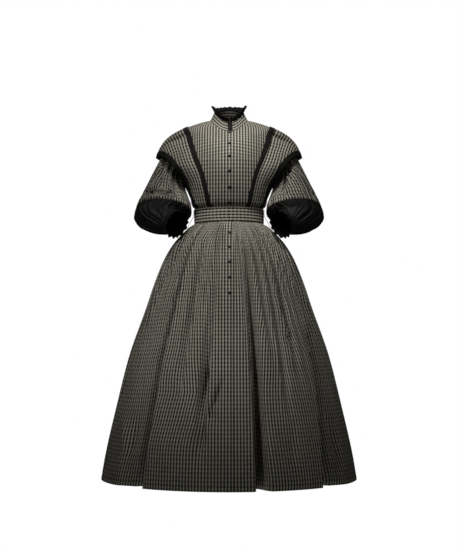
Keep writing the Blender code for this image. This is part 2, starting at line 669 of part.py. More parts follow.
def loop_route(route):
    """Close points along the smooth curve through a loop's route."""
    x, z = np.array(route).T
    keys = np.arange(len(route), dtype=float)
    at = np.linspace(0.0, keys[-1], 2 * (len(route) - 1) + 1)
    return list(zip(smooth(keys, x, at), smooth(keys, z, at)))


def make_buttons():
    """Domed buttons down the button line, each seated on the front that laps over."""
    bodice_line = bodice_front(-1)[:, 1]
    skirt_line = skirt_front(-1)[:, 1]
    places = [(height, bodice_line) for height in BODICE_BUTTON_HEIGHTS]
    skirt_heights = SKIRT_BUTTON_FIRST - SKIRT_BUTTON_SPACING * np.arange(SKIRT_BUTTON_COUNT)
    places += [(height, skirt_line) for height in skirt_heights]
    for number, (height, line) in enumerate(places, start=1):
        button = turned_button(f"button_{number:02d}")
        seat_button(button, height, line)


def seat_button(button, height, line):
    """Lay a button on a front at a height, tangent to the face along its button line."""
    depths, heights = line[:, 1], line[:, 2]
    low, high = height - BUTTON_RADIUS, height + BUTTON_RADIUS
    low_depth, high_depth = np.interp([low, high], heights, depths)
    covered = (heights > low) & (heights < high)
    chord = np.interp(heights, [low, high], [low_depth, high_depth])
    bulge = np.max((chord - depths)[covered], initial=0.0)
    lean = math.atan2(high_depth - low_depth, 2 * BUTTON_RADIUS)
    out = BUTTON_SEAT + bulge
    middle = (low_depth + high_depth) / 2
    button.location = (BUTTON_LINE, middle - out * math.cos(lean), height + out * math.sin(lean))
    button.rotation_euler = (math.radians(90.0) - lean, 0.0, 0.0)


def turned_button(name):
    """A low dome turned from its profile."""
    rise = ((0.0, 1.0), (0.55, 0.88), (0.90, 0.50), (1.0, 0.15), (0.92, 0.0), (0.0, 0.0))
    mesh = bpy.data.meshes.new(name)
    points = [(BUTTON_RADIUS * across, 0.0, BUTTON_HEIGHT * up) for across, up in rise]
    mesh.from_pydata(points, [(k, k + 1) for k in range(len(points) - 1)], [])
    obj = add_object(name, mesh, dark_ribbon(name))
    turn = obj.modifiers.new("Turned", "SCREW")
    turn.steps = BUTTON_SIDES
    turn.render_steps = BUTTON_SIDES
    turn.use_merge_vertices = True
    turn.merge_threshold = 0.00001
    return obj


def main():
    for old in list(bpy.data.objects):
        bpy.data.objects.remove(old)
    make_bodice()
    make_collar()
    make_collar_frill()
    make_front_frill()
    make_bretelles()
    make_sleeves()
    make_skirt()
    make_belt()
    make_belt_loops()
    make_buttons()


main()
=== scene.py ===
# %% [markdown]
# # A day dress in a small check
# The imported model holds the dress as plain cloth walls: bodice, collar, shoulder bretelles, puffed sleeves,
# belt and a full gathered skirt. This lesson gives each of them its real surface. Every piece is a grid of
# points worked out from the same rings as the plain walls, only much finer, so that gathers, pleats, seams
# and frills have room. Lengths are in metres, the front faces -Y and the wearer's left is at +X.

import math
from collections import namedtuple

import bpy
import numpy as np
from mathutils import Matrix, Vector


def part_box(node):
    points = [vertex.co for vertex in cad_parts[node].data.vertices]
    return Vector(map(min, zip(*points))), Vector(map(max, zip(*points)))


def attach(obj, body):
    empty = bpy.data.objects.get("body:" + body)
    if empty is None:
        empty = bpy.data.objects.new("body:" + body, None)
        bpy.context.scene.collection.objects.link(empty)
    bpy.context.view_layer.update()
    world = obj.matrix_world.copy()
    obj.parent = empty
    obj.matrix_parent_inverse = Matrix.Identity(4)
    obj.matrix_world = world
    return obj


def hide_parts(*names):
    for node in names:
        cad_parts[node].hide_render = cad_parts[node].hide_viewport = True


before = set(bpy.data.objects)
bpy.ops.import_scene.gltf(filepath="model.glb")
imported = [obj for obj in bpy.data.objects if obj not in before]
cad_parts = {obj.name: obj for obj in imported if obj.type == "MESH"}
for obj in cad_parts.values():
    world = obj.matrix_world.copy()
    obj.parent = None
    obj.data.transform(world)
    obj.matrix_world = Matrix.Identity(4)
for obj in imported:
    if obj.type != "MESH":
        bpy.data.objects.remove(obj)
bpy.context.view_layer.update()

# %% [markdown]
# ## The sizes that shape the dress
# A dressmaker works from a few measures: waist, neck, shoulder, hem. Here each table is a stack of rings or
# sections, one row for each, with named columns. Between rows a smooth curve is read, so a handful of rows
# is enough for a whole skirt. A "turn" is the angle round the body from centre front, in degrees, positive
# towards the wearer's left.

# %% Sizes of the whole
CLOTH = 0.0010
RIBBON = 0.0009
SEAM_GAP = 0.0003
WAIST = -0.362
HEM = -1.321
BELT_TOP = -0.3355
BELT_BOTTOM = -0.3880
BUTTON_LINE = 0.004
LAP_HALF = 0.010
LAP_SINK = 0.0017
LAP_FROM, LAP_TO = 0.014, 0.020
RIBBON_WIDTH = 0.016
ARMHOLE_TOP = -0.035
ARMHOLE_BOTTOM = -0.160
ARMHOLE_HALF_TURN = 28.0
SIDES = (("left", False), ("right", True))
print("waist", WAIST, "hem", HEM, "cloth", CLOTH * 1000, "mm thick")

# %% [markdown]
# The bodice and the collar are stacks of body rings. A ring is an oval with its own depth in front and
# behind. `side`, `front` and `back` are its heights at the side, at centre front and at centre back, and
# `corner` draws it in halfway between, where a shoulder is narrower than an oval.

# %% Sizes of the bodice and collar
BodyRing = namedtuple("BodyRing", "side half_width front_depth back_depth front back corner")
BODICE = [
    BodyRing(-0.362, 0.1255, 0.100, 0.087, -0.362, -0.362, 0.00),
    BodyRing(-0.334, 0.1262, 0.101, 0.088, -0.334, -0.334, 0.00),
    BodyRing(-0.322, 0.1365, 0.115, 0.098, -0.322, -0.322, 0.00),
    BodyRing(-0.300, 0.1420, 0.124, 0.105, -0.300, -0.300, 0.00),
    BodyRing(-0.250, 0.1480, 0.136, 0.111, -0.250, -0.250, 0.00),
    BodyRing(-0.200, 0.1530, 0.142, 0.114, -0.200, -0.200, 0.00),
    BodyRing(-0.160, 0.1600, 0.138, 0.116, -0.160, -0.160, 0.00),
    BodyRing(-0.110, 0.1680, 0.126, 0.115, -0.125, -0.115, 0.01),
    BodyRing(-0.070, 0.1730, 0.115, 0.110, -0.104, -0.082, 0.03),
    BodyRing(-0.035, 0.1720, 0.105, 0.100, -0.088, -0.050, 0.05),
    BodyRing(-0.023, 0.1480, 0.098, 0.090, -0.078, -0.025, 0.02),
    BodyRing(-0.013, 0.1200, 0.090, 0.081, -0.068, -0.005, 0.00),
    BodyRing(-0.004, 0.0890, 0.080, 0.073, -0.059, 0.012, 0.00),
    BodyRing(0.000, 0.0700, 0.072, 0.068, -0.052, 0.022, 0.00),
]
COLLAR = [
    BodyRing(0.0010, 0.0700, 0.0720, 0.0680, -0.0508, 0.0232, 0.00),
    BodyRing(0.0160, 0.0615, 0.0650, 0.0605, -0.0345, 0.0380, 0.00),
    BodyRing(0.0310, 0.0555, 0.0600, 0.0545, -0.0173, 0.0525, 0.00),
]
print("waist to neck in", len(BODICE), "rings")

# %% [markdown]
# A bretelle row gives the place of its inner edge on the bodice, the place of its free edge, and the way the
# cloth falls there. A sleeve ring is a tilted oval between an outer and an under line. The left side is
# listed, and the right one is its mirror image.

# %% Sizes of the bretelles and sleeves
BretelleRow = namedtuple("BretelleRow", "height turn edge_x edge_z front_y back_y fall_x fall_y fall_z swell")
BRETELLE = [
    BretelleRow(-0.333, 28.0, 0.1180, -0.333, -0.043, 0.037, 0.42, 0.90, 0.00, 1.03),
    BretelleRow(-0.322, 28.5, 0.1275, -0.322, -0.048, 0.041, 0.42, 0.90, 0.00, 1.03),
    BretelleRow(-0.300, 29.5, 0.1385, -0.300, -0.043, 0.036, 0.45, 0.88, 0.00, 1.03),
    BretelleRow(-0.250, 33.0, 0.1600, -0.252, -0.060, 0.052, 0.75, 0.60, -0.20, 1.10),
    BretelleRow(-0.205, 37.5, 0.1790, -0.225, -0.082, 0.076, 0.85, 0.25, -0.45, 1.20),
    BretelleRow(-0.160, 43.5, 0.2020, -0.190, -0.101, 0.097, 0.70, 0.15, -0.70, 1.30),
    BretelleRow(-0.100, 49.0, 0.2260, -0.163, -0.096, 0.094, 0.45, 0.25, -0.85, 1.50),
    BretelleRow(-0.055, 55.0, 0.2520, -0.146, -0.066, 0.065, 0.35, 0.25, -0.90, 1.60),
    BretelleRow(-0.033, 62.5, 0.2650, -0.141, -0.038, 0.037, 0.28, 0.12, -0.95, 1.40),
    BretelleRow(-0.0245, 90.0, 0.2720, -0.140, 0.000, 0.000, 0.22, 0.00, -0.97, 1.12),
]
SleeveRing = namedtuple("SleeveRing", "outer_x outer_z under_x under_z middle_y half_depth tip gather")
SLEEVE = [
    SleeveRing(0.172, -0.035, 0.160, -0.160, 0.000, 0.058, 0, 0.0004),
    SleeveRing(0.198, -0.065, 0.163, -0.176, 0.000, 0.054, 0, 0.0012),
    SleeveRing(0.231, -0.104, 0.166, -0.200, 0.000, 0.066, 2, 0.0016),
    SleeveRing(0.258, -0.150, 0.169, -0.232, 0.000, 0.080, 5, 0.0016),
    SleeveRing(0.283, -0.200, 0.161, -0.265, -0.004, 0.090, 8, 0.0012),
    SleeveRing(0.305, -0.248, 0.149, -0.300, -0.012, 0.094, 12, 0.0012),
    SleeveRing(0.326, -0.292, 0.140, -0.327, -0.022, 0.095, 16, 0.0016),
    SleeveRing(0.341, -0.332, 0.138, -0.347, -0.032, 0.093, 20, 0.0016),
    SleeveRing(0.349, -0.366, 0.143, -0.356, -0.042, 0.088, 24, 0.0020),
    SleeveRing(0.333, -0.394, 0.157, -0.357, -0.055, 0.079, 28, 0.0026),
    SleeveRing(0.300, -0.413, 0.164, -0.354, -0.070, 0.068, 32, 0.0028),
    SleeveRing(0.262, -0.426, 0.172, -0.350, -0.085, 0.056, 36, 0.0024),
    SleeveRing(0.226, -0.434, 0.181, -0.352, -0.100, 0.046, 40, 0.0008),
    SleeveRing(0.218, -0.437, 0.173, -0.356, -0.108, 0.046, 40, 0.0004),
    SleeveRing(0.214, -0.447, 0.161, -0.357, -0.117, 0.051, 40, 0.0004),
]
BAND_START, CUFF_START, FRILL_START, FRILL_END = 7, 12, 13, 14
print("bretelle in", len(BRETELLE), "sections, sleeve in", len(SLEEVE), "rings")

# %% [markdown]
# The skirt is a stack of wide ovals. Over them lie large folds, each with a turn and a depth at its top and
# at its foot, and a width on either side of its deepest line. They differ from side to side, because cloth
# that hangs from gathers never falls evenly.

# %% Sizes of the skirt
SkirtRing = namedtuple("SkirtRing", "height half_width front_share back_share gather")
SKIRT = [
    SkirtRing(-1.321, 0.466, 0.944, 1.010, 0.0000),
    SkirtRing(-1.232, 0.451, 0.944, 1.005, 0.0002),
    SkirtRing(-1.055, 0.411, 0.942, 0.990, 0.0008),
    SkirtRing(-0.877, 0.366, 0.935, 0.970, 0.0018),
    SkirtRing(-0.700, 0.303, 0.920, 0.935, 0.0034),
    SkirtRing(-0.611, 0.272, 0.905, 0.910, 0.0050),
    SkirtRing(-0.522, 0.235, 0.880, 0.875, 0.0062),
    SkirtRing(-0.4665, 0.202, 0.855, 0.835, 0.0068),
    SkirtRing(-0.430, 0.172, 0.835, 0.790, 0.0062),
    SkirtRing(-0.400, 0.142, 0.815, 0.740, 0.0040),
    SkirtRing(-0.387, 0.1265, 0.800, 0.700, 0.0006),
    SkirtRing(-0.362, 0.1255, 0.797, 0.693, 0.0004),
]
Fold = namedtuple("Fold", "top_turn foot_turn top_depth foot_depth near_width far_width top foot")
SKIRT_FOLDS = [
    Fold(-39.5, -41.0, 0.006, 0.030, 2.4, 18.0, -0.46, HEM),
    Fold(-37.5, -41.8, 0.028, 0.058, 1.1, 6.0, -0.42, HEM),
    Fold(-10, -12, 0.008, 0.034, 1.2, 5.0, -0.60, -1.10),
    Fold(12.5, 12.2, 0.005, 0.022, 1.8, 7.0, -0.46, HEM),
    Fold(13.2, 12.6, 0.019, 0.056, 1.0, 5.0, -0.46, HEM),
    Fold(38.5, 37.5, 0.024, 0.020, 1.4, 4.5, -0.42, -0.86),
    Fold(54, 45, 0.005, 0.026, 1.8, 18.0, -0.80, HEM),
    Fold(59, 46.4, 0.016, 0.058, 1.1, 6.0, -0.64, HEM),
    Fold(62, 66, 0.026, 0.014, 1.8, 5.0, -0.42, -0.82),
    Fold(-57, -67, 0.026, 0.014, 1.6, 5.0, -0.42, -0.84),
    Fold(-24.3, -24.8, 0.010, 0.016, 1.6, 4.5, -0.48, -0.95),
    Fold(112, 115, 0.016, 0.060, 7.0, 1.6, -0.46, HEM),
    Fold(140, 137, 0.020, 0.016, 5.0, 1.8, -0.42, -0.95),
    Fold(158, 155, 0.008, 0.062, 1.4, 8.0, -0.70, HEM),
    Fold(-164, -160, 0.014, 0.052, 1.5, 6.0, -0.46, HEM),
    Fold(-134, -132, 0.014, 0.060, 7.5, 1.4, -0.50, HEM),
    Fold(-110, -112, 0.020, 0.016, 1.8, 5.0, -0.42, -1.00),
]
print("waist to hem in", len(SKIRT), "rings with", len(SKIRT_FOLDS), "large folds")

# %% [markdown]
# ## Reading the tables
# A ring table gives only a few rows. The curve between them is a cubic whose slope at each row is the
# harmonic mean of its neighbours' slopes, which never swings past the rows. A pattern cutter's curved rule
# does the same by eye.

# %% Smooth reading
def column(table, name):
    """One named column of a table."""
    return np.array([getattr(row, name) for row in table], dtype=float)


def hermite(t, start, leave, finish, arrive):
    """The cubic from start to finish that sets out along `leave` and comes in along `arrive`."""
    going = (1 + 2 * t) * (1 - t) ** 2 * start + t * (1 - t) ** 2 * leave
    coming = t * t * (3 - 2 * t) * finish + t * t * (t - 1) * arrive
    return going + coming


def smooth(keys, values, at):
    """The curve through (keys, values) at `at`: a cubic in each span, with harmonic mean slopes."""
    at = np.asarray(at, dtype=float)
    step = np.diff(keys)
    slope = np.diff(values) / step
    product = slope[:-1] * slope[1:]
    total = np.where(product > 0, slope[:-1] + slope[1:], 1.0)
    bend = np.where(product > 0, 2 * product / total, 0.0)
    tangent = np.concatenate([slope[:1], bend, slope[-1:]])
    k = np.clip(np.searchsorted(keys, at, side="right") - 1, 0, len(step) - 1)
    t = (at - keys[k]) / step[k]
    return hermite(t, values[k], step[k] * tangent[k], values[k + 1], step[k] * tangent[k + 1])


def read(table, key, name, at):
    """The column `name`, read smoothly where the column `key` is `at`."""
    return smooth(column(table, key), column(table, name), at)


def eased(low, high, value):
    """0 below `low`, 1 above `high`, and a smooth S between."""
    t = np.clip((value - low) / (high - low), 0, 1)
    return t * t * (3 - 2 * t)


print("waist half width", float(read(BODICE, "side", "half_width", WAIST)))

# %% [markdown]
# ## Working with cloth as a grid
# Cloth has two directions, so a grid of points suits it: rows run up the dress, columns towards the
# wearer's left. The cross product of the two directions is the way out of the cloth. A crease is then a
# number of millimetres moved in along that way. The lengths travelled along the grid are the measures that a
# cutter would take on the flat cloth.

# %% Grid helpers
def unit(vectors):
    """Vectors divided by their lengths."""
    return vectors / np.linalg.norm(vectors, axis=-1, keepdims=True)


def outward(points, closed=False):
    """The way out at each grid point: the column direction crossed with the row direction."""
    rise = np.gradient(points, axis=0)
    if closed:
        run = np.roll(points, -1, axis=1) - np.roll(points, 1, axis=1)
    else:
        run = np.gradient(points, axis=1)
    return unit(np.cross(run, rise))


def moved_out(points, distance, closed=False):
    """Each point plus its way out times a distance, which may differ from point to point."""
    distance = np.asarray(distance, dtype=float)
    if distance.ndim:
        distance = distance[..., None]
    return points + outward(points, closed) * distance


def running_sum(steps, axis=1):
    """The sum of all the steps so far along one direction of the grid, from zero."""
    start = np.zeros_like(np.take(steps, [0], axis=axis))
    return np.concatenate([start, np.cumsum(steps, axis=axis)], axis=axis)


def length_along(points, axis):
    """Distance travelled along one direction of the grid: the running sum of the steps between points."""
    return running_sum(np.linalg.norm(np.diff(points, axis=axis), axis=-1), axis)


def grid_flat(points, closed=False, warp_round=False):
    """The cloth's own coordinates: length across and length up, in the other order where the warp runs
    round the body. A closed grid has its first column once more at the far end of the strip."""
    if closed:
        points = np.concatenate([points, points[:, :1]], axis=1)
    across, up = length_along(points, 1), length_along(points, 0)
    return np.stack([up, across] if warp_round else [across, up], axis=-1)


x, z = np.meshgrid(np.linspace(0.0, 0.3, 4), np.linspace(0.0, 0.1, 3))
strip = np.stack([x, 0 * x, z], axis=-1)
print("a strip of 300 by 100 mm measures", grid_flat(strip)[-1, -1] * 1000)

# %% [markdown]
# ## Soft creases
# A crease in worn cloth is a straight valley that is deepest in its middle and fades at both ends. Its
# section is an exponential: sharp at the bottom and soft at the shoulders. A ridge is a crease of negative
# depth. Each is placed in the cloth's own directions.

# %% Creases
Crease = namedtuple("Crease", "up_from across_from up_to across_to depth width")


def creases(table, up, across, across_size):
    """Depth in metres: for each crease, depth times exp(-(distance / width)^1.5) times a fade to its ends.
    `across_size` turns the across coordinate into metres."""
    depth = np.zeros(np.broadcast(up, across).shape)
    for c in table:
        line_up, line_across = c.up_to - c.up_from, (c.across_to - c.across_from) * across_size
        from_up, from_across = up - c.up_from, (across - c.across_from) * across_size
        share = (from_up * line_up + from_across * line_across) / (line_up**2 + line_across**2)
        share = np.clip(share, 0, 1)
        away = np.hypot(from_up - share * line_up, from_across - share * line_across)
        fade = 0.25 + 0.75 * np.sin(np.pi * share)
        depth = depth + c.depth * fade * np.exp(-((away / c.width) ** 1.5))
    return depth


def uneven_gathers(count, angle, shift=0.0):
    """Ridge and valley heights from 1 to -1 for `count` gathers round the body. The phase is warped by
    three slow sines, so that no two gathers are alike, and a power makes ridges broad, valleys narrow."""
    phase = count * angle
    phase = phase + 1.1 * np.sin(7 * angle + 0.6 + shift) + 0.8 * np.sin(11 * angle + 2.1 + shift)
    phase = phase + 0.5 * np.sin(23 * angle + 1.0)
    valley = np.sin(phase / 2) ** 2
    size = 0.75 + 0.25 * np.sin(5 * angle + 1.0 + shift) + 0.22 * np.sin(17 * angle + 0.4)
    return (1 - 2 * valley**1.6) * size, valley


sample = creases([Crease(0.0, 0.0, 1.0, 0.0, 0.010, 0.005)], 0.5, np.array([0.0, 0.005]), 1.0)
print("a 10 mm crease in its middle, and 5 mm beside it:", np.round(sample * 1000, 1), "mm deep")

# %% [markdown]
# ## Making a piece from its grid
# The grid becomes a mesh with one call, its flat measure goes into a UV map in metres, and Solidify gives
# the cloth its thickness inwards. Because the map is in metres, a check of 11 mm stays 11 mm on every piece,
# as it does on the bolt of cloth.

# %% A mesh from a grid
def grid_mesh(name, points, flat, closed=False, mirrored=False):
    """A mesh of quads over a grid. `flat` holds the cloth's own coordinates, with one column more than the
    points when the grid closes on itself."""
    rows, columns = points.shape[:2]
    across = columns if closed else columns - 1
    i, j = np.meshgrid(np.arange(rows - 1), np.arange(across), indexing="ij")
    corners = [(i, j), (i, j + 1), (i + 1, j + 1), (i + 1, j)]
    if mirrored:
        points = points * (-1, 1, 1)
        corners = corners[::-1]
    faces = np.stack([r * columns + c % columns for r, c in corners], axis=-1).reshape(-1, 4)
    mesh = bpy.data.meshes.new(name)
    mesh.from_pydata(points.reshape(-1, 3).tolist(), [], faces.tolist())
    coordinates = np.stack([flat[r, c] for r, c in corners], axis=-2).reshape(-1)
    mesh.uv_layers.new(name="cloth").data.foreach_set("uv", coordinates)
    mesh.shade_smooth()
    return mesh


trial = grid_mesh("trial", np.zeros((3, 4, 3)), np.zeros((3, 4, 2)))
print("a grid of 3 by 4 points has", len(trial.polygons), "faces")
bpy.data.meshes.remove(trial)

# %% [markdown]
# Every piece rides on the one body of the dress and hides the plain solid it stands for. A cloth piece also
# gets its thickness here, once for all of them.

# %% Cloth pieces
def show(name, mesh, material, replaces=()):
    """Put a mesh in the scene as a piece that rides on the dress and stands for its plain solid."""
    mesh.materials.append(material)
    piece = bpy.data.objects.new(name, mesh)
    bpy.context.scene.collection.objects.link(piece)
    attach(piece, "root")
    if replaces:
        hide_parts(*replaces)
    return piece


def cloth_piece(name, points, flat, material, thickness=CLOTH, slot="check_cloth", **grid):
    """A cloth wall on the outer face `points`, in place of the plain solid of the same name."""
    mesh = grid_mesh(f"{name}_cloth", points, flat, **grid)
    piece = show(f"{name}_cloth", mesh, material, (name,))
    wall = piece.modifiers.new("Thickness", "SOLIDIFY")
    wall.thickness = thickness
    wall.offset = -1
    wall.use_even_offset = False
    print(name, points.shape[:2])
    return piece


print("cloth walls", CLOTH * 1000, "mm, ribbons", RIBBON * 1000, "mm")

# %% [markdown]
# ## Yarns and dyes as shader nodes
# A finish is a small sum worked out at each point of the cloth: how far along the yarn, on top or below, dark
# or pale. Each step of it is one node. These helpers add one step each, so that a group reads like its
# formula. The alternative, a picture of the cloth, would blur close up and show its repeat.

# %% Helpers for groups and sums
def new_group(name, inputs, outputs):
    """An empty shader group with named sockets, and its two end nodes."""
    group = bpy.data.node_groups.new(name, "ShaderNodeTree")
    for label, kind, value in inputs:
        socket = group.interface.new_socket(label, in_out="INPUT", socket_type=kind)
        if value is not None:
            socket.default_value = value
    for label, kind in outputs:
        group.interface.new_socket(label, in_out="OUTPUT", socket_type=kind)
    return group, group.nodes.new("NodeGroupInput"), group.nodes.new("NodeGroupOutput")


def plug(tree, node, socket, value):
    """Give an input socket either a link or a plain value."""
    if isinstance(value, bpy.types.NodeSocket):
        tree.links.new(value, node.inputs[socket])
    else:
        node.inputs[socket].default_value = value


def maths(tree, operation, a, b=None, c=None):
    """One arithmetic step."""
    node = tree.nodes.new("ShaderNodeMath")
    node.operation = operation
    for k, value in enumerate((a, b, c)):
        if value is not None:
            plug(tree, node, k, value)
    return node.outputs[0]


def split(tree, vector):
    """The parts of a vector: on cloth, the places across and along it."""
    node = tree.nodes.new("ShaderNodeSeparateXYZ")
    plug(tree, node, 0, vector)
    return node.outputs


def placed(tree, group, cloth):
    """A shared group, placed in another tree and fed with the cloth's own coordinates."""
    node = tree.nodes.new("ShaderNodeGroup")
    node.node_tree = group
    plug(tree, node, "Cloth", cloth)
    return node


print("one node for each step:", [step.__name__ for step in (new_group, maths, split, placed)])

# %% [markdown]
# The next helpers shape a value or a colour: one range turned into another with soft ends, two colours
# mixed, a colour made lighter or darker, and the soft noise that stands for chance.

# %% Helpers for values and colours
def ranged(tree, value, low, high, to_low=0.0, to_high=1.0):
    """A value carried from one range to another with soft ends."""
    node = tree.nodes.new("ShaderNodeMapRange")
    node.interpolation_type = "SMOOTHSTEP"
    for label, given in (("Value", value), ("From Min", low), ("From Max", high)):
        plug(tree, node, label, given)
    plug(tree, node, "To Min", to_low)
    plug(tree, node, "To Max", to_high)
    return node.outputs["Result"]


def mixed(tree, share, a, b):
    """Two colours mixed by a share."""
    node = tree.nodes.new("ShaderNodeMix")
    node.data_type = "RGBA"
    plug(tree, node, 0, share)
    plug(tree, node, 6, a)
    plug(tree, node, 7, b)
    return node.outputs[2]


def noise(tree, vector, scale, detail=2.0):
    """Soft noise in 0 to 1."""
    node = tree.nodes.new("ShaderNodeTexNoise")
    plug(tree, node, "Vector", vector)
    plug(tree, node, "Scale", scale)
    plug(tree, node, "Detail", detail)
    return node.outputs["Fac"]


def scaled(tree, colour, factor):
    """A colour times a factor."""
    node = tree.nodes.new("ShaderNodeVectorMath")
    node.operation = "SCALE"
    plug(tree, node, 0, colour)
    plug(tree, node, "Scale", factor)
    return node.outputs[0]


print("steps that shape a value or colour:", [step.__name__ for step in (ranged, mixed, noise, scaled)])

# %% [markdown]
# ## The weave that every cloth here shares
# Plain weave is warp over weft, then weft over warp. Seen close, each crossing is a small cushion. The
# group gives a mask, 1 where the warp lies on top, and a height for the bump. All of it comes from sines of
# the cloth's own coordinates, so the weave follows every fold.

# %% The weave group
def wave_of(tree, value, size):
    """sin(2 pi value / size)."""
    return maths(tree, "SINE", maths(tree, "MULTIPLY", maths(tree, "DIVIDE", value, size), 2 * math.pi))


def make_weave():
    """Warp mask and height: the product of two sines, one across the warp yarns and one across the weft."""
    group, start, finish = new_group(
        "plain_weave",
        [("Cloth", "NodeSocketVector", None), ("Yarn", "NodeSocketFloat", 0.0006)],
        [("Warp on top", "NodeSocketFloat"), ("Height", "NodeSocketFloat")],
    )
    parts = split(group, start.outputs["Cloth"])
    pair = maths(group, "MULTIPLY", start.outputs["Yarn"], 2.0)
    product = maths(group, "MULTIPLY", wave_of(group, parts[0], pair), wave_of(group, parts[1], pair))
    plug(group, finish, "Warp on top", ranged(group, product, -0.3, 0.3))
    plug(group, finish, "Height", maths(group, "ABSOLUTE", product))
    return group


weave_group = make_weave()
print("weave group with", len(weave_group.nodes), "nodes")

# %% [markdown]
# ## The check
# A yarn-dyed check has dark and pale yarns in equal bands, in the warp and in the weft. Where both are dark
# the square is dark, where both are pale it is pale, and where they cross it is between. On this cloth the
# warp bands show more than the weft bands. Slubs, the thick spots of spun yarn, make fine streaks along
# the warp, and a slow noise gives the soft unevenness of washed cotton.

# %% The check group
def make_check():
    """Colour of a yarn-dyed check: dark = warp band x warp share + weft band x the rest."""
    group, start, finish = new_group(
        "yarn_dyed_check",
        [
            ("Cloth", "NodeSocketVector", None),
            ("Warp repeat", "NodeSocketFloat", 0.0110),
            ("Weft repeat", "NodeSocketFloat", 0.0143),
            ("Pale yarn", "NodeSocketColor", (0.4, 0.36, 0.3, 1.0)),
            ("Dark yarn", "NodeSocketColor", (0.02, 0.017, 0.015, 1.0)),
        ],
        [("Color", "NodeSocketColor"), ("Height", "NodeSocketFloat")],
    )
    cloth = start.outputs["Cloth"]
    weave = placed(group, weave_group, cloth)
    parts = split(group, cloth)
    warp_band = ranged(group, wave_of(group, parts[0], start.outputs["Warp repeat"]), -0.45, 0.10)
    weft_band = ranged(group, wave_of(group, parts[1], start.outputs["Weft repeat"]), -0.35, 0.20)
    on_top = ranged(group, weave.outputs["Warp on top"], 0.0, 1.0, 0.56, 1.00)
    from_warp = maths(group, "MULTIPLY", warp_band, on_top)
    from_weft = maths(group, "MULTIPLY", weft_band, maths(group, "SUBTRACT", 1.0, on_top))
    stretched = group.nodes.new("ShaderNodeMapping")
    plug(group, stretched, "Vector", cloth)
    plug(group, stretched, "Scale", (1400.0, 60.0, 1.0))
    slub = noise(group, stretched.outputs["Vector"], 1.0)
    slow = noise(group, cloth, 9.0, 3.0)
    dark = maths(group, "ADD", from_warp, from_weft)
    colour = mixed(group, dark, start.outputs["Pale yarn"], start.outputs["Dark yarn"])
    streaks = ranged(group, slub, 0.3, 0.7, 0.9, 1.08)
    washed = ranged(group, slow, 0.3, 0.7, 0.93, 1.05)
    plug(group, finish, "Color", scaled(group, colour, maths(group, "MULTIPLY", streaks, washed)))
    plug(group, finish, "Height", weave.outputs["Height"])
    return group


check_group = make_check()
print("check group with", len(check_group.nodes), "nodes")

# %% [markdown]
# ## The cotton of the dress
# Cotton is matt: light that falls on it is spread by thousands of fibre ends, so the shader is rough and
# hardly mirrors anything. The weave's height goes in as a bump a tenth of a millimetre deep, which is enough
# to keep the cloth from looking like paper.

# %% Materials from the groups
def blank_material(name, roughness, specular):
    """A material with its Principled shader set directly, and the cloth's own coordinates."""
    material = bpy.data.materials.new(name)
    material.use_nodes = True
    tree = material.node_tree
    shader = tree.nodes["Principled BSDF"]
    shader.inputs["Roughness"].default_value = roughness
    shader.inputs["Specular IOR Level"].default_value = specular
    place = tree.nodes.new("ShaderNodeUVMap")
    place.uv_map = "cloth"
    return material, tree, shader, place.outputs["UV"]


def relief(tree, shader, height, distance):
    """Bump the surface by a height, at half strength."""
    bump = tree.nodes.new("ShaderNodeBump")
    plug(tree, bump, "Height", height)
    bump.inputs["Distance"].default_value = distance
    bump.inputs["Strength"].default_value = 0.5
    tree.links.new(bump.outputs["Normal"], shader.inputs["Normal"])


def check_material(name, pale, dark):
    """Matt cotton whose colour and relief come from the check group, with its two yarn colours."""
    material, tree, shader, place = blank_material(name, 0.80, specular=0.06)
    check = placed(tree, check_group, place)
    check.inputs["Pale yarn"].default_value = (*pale, 1.0)
    check.inputs["Dark yarn"].default_value = (*dark, 1.0)
    tree.links.new(check.outputs["Color"], shader.inputs["Base Color"])
    relief(tree, shader, check.outputs["Height"], 0.00012)
    return material


check_cloth = check_material("check_cotton", (0.285, 0.268, 0.222), (0.008, 0.008, 0.006))
print(check_cloth.name, "with", len(check_cloth.node_tree.nodes), "nodes")

# %% [markdown]
# ## Black trimmings
# The ribbons on the bretelles are ribbed across and almost matt. The bands that gather the sleeves, and the
# frills, are a smoother black cloth with a soft shine that shows on each fold. Black cloth is never quite
# black: a slow noise lifts it here and there, where the pile or the finish is rubbed.

# %% Black materials
RIB_PITCH = 0.0024


def black_material(name, tone, roughness, rib, yarn):
    """Black cloth: a weave of the given yarn, ribs across it, and a slow lift of tone."""
    material, tree, shader, place = blank_material(name, roughness, specular=0.12)
    weave = placed(tree, weave_group, place)
    weave.inputs["Yarn"].default_value = yarn
    ribs = maths(tree, "ABSOLUTE", wave_of(tree, split(tree, place)[1], RIB_PITCH))
    height = maths(tree, "ADD", maths(tree, "MULTIPLY", ribs, rib), weave.outputs["Height"])
    lift = ranged(tree, noise(tree, place, 60.0, 4.0), 0.35, 0.75, 0.75, 1.6)
    tree.links.new(scaled(tree, tone, lift), shader.inputs["Base Color"])
    relief(tree, shader, height, 0.00015)
    return material


ribbon_cloth = black_material("black_ribbed_ribbon", (0.0050, 0.0046, 0.0040), 0.75, 1.0, 0.0004)
band_cloth = black_material("black_band_cloth", (0.0052, 0.0050, 0.0044), 0.48, 0.0, 0.0003)
frill_cloth = black_material("black_frill_cloth", (0.0034, 0.0031, 0.0028), 0.70, 0.3, 0.0003)
print("materials", [m.name for m in (check_cloth, ribbon_cloth, band_cloth, frill_cloth)])

# %% [markdown]
# ## The skirt
# Four straight lengths of cloth are gathered to the waist. On a real skirt about three and a half metres of
# hem are drawn up to seventy centimetres, so most of the cloth at the top is hidden in the valleys between
# the gathers. Below them the cloth falls in folds. Each has a raised cosine for a section, steep on one side
# and long on the other, as cloth hangs from a round waist.

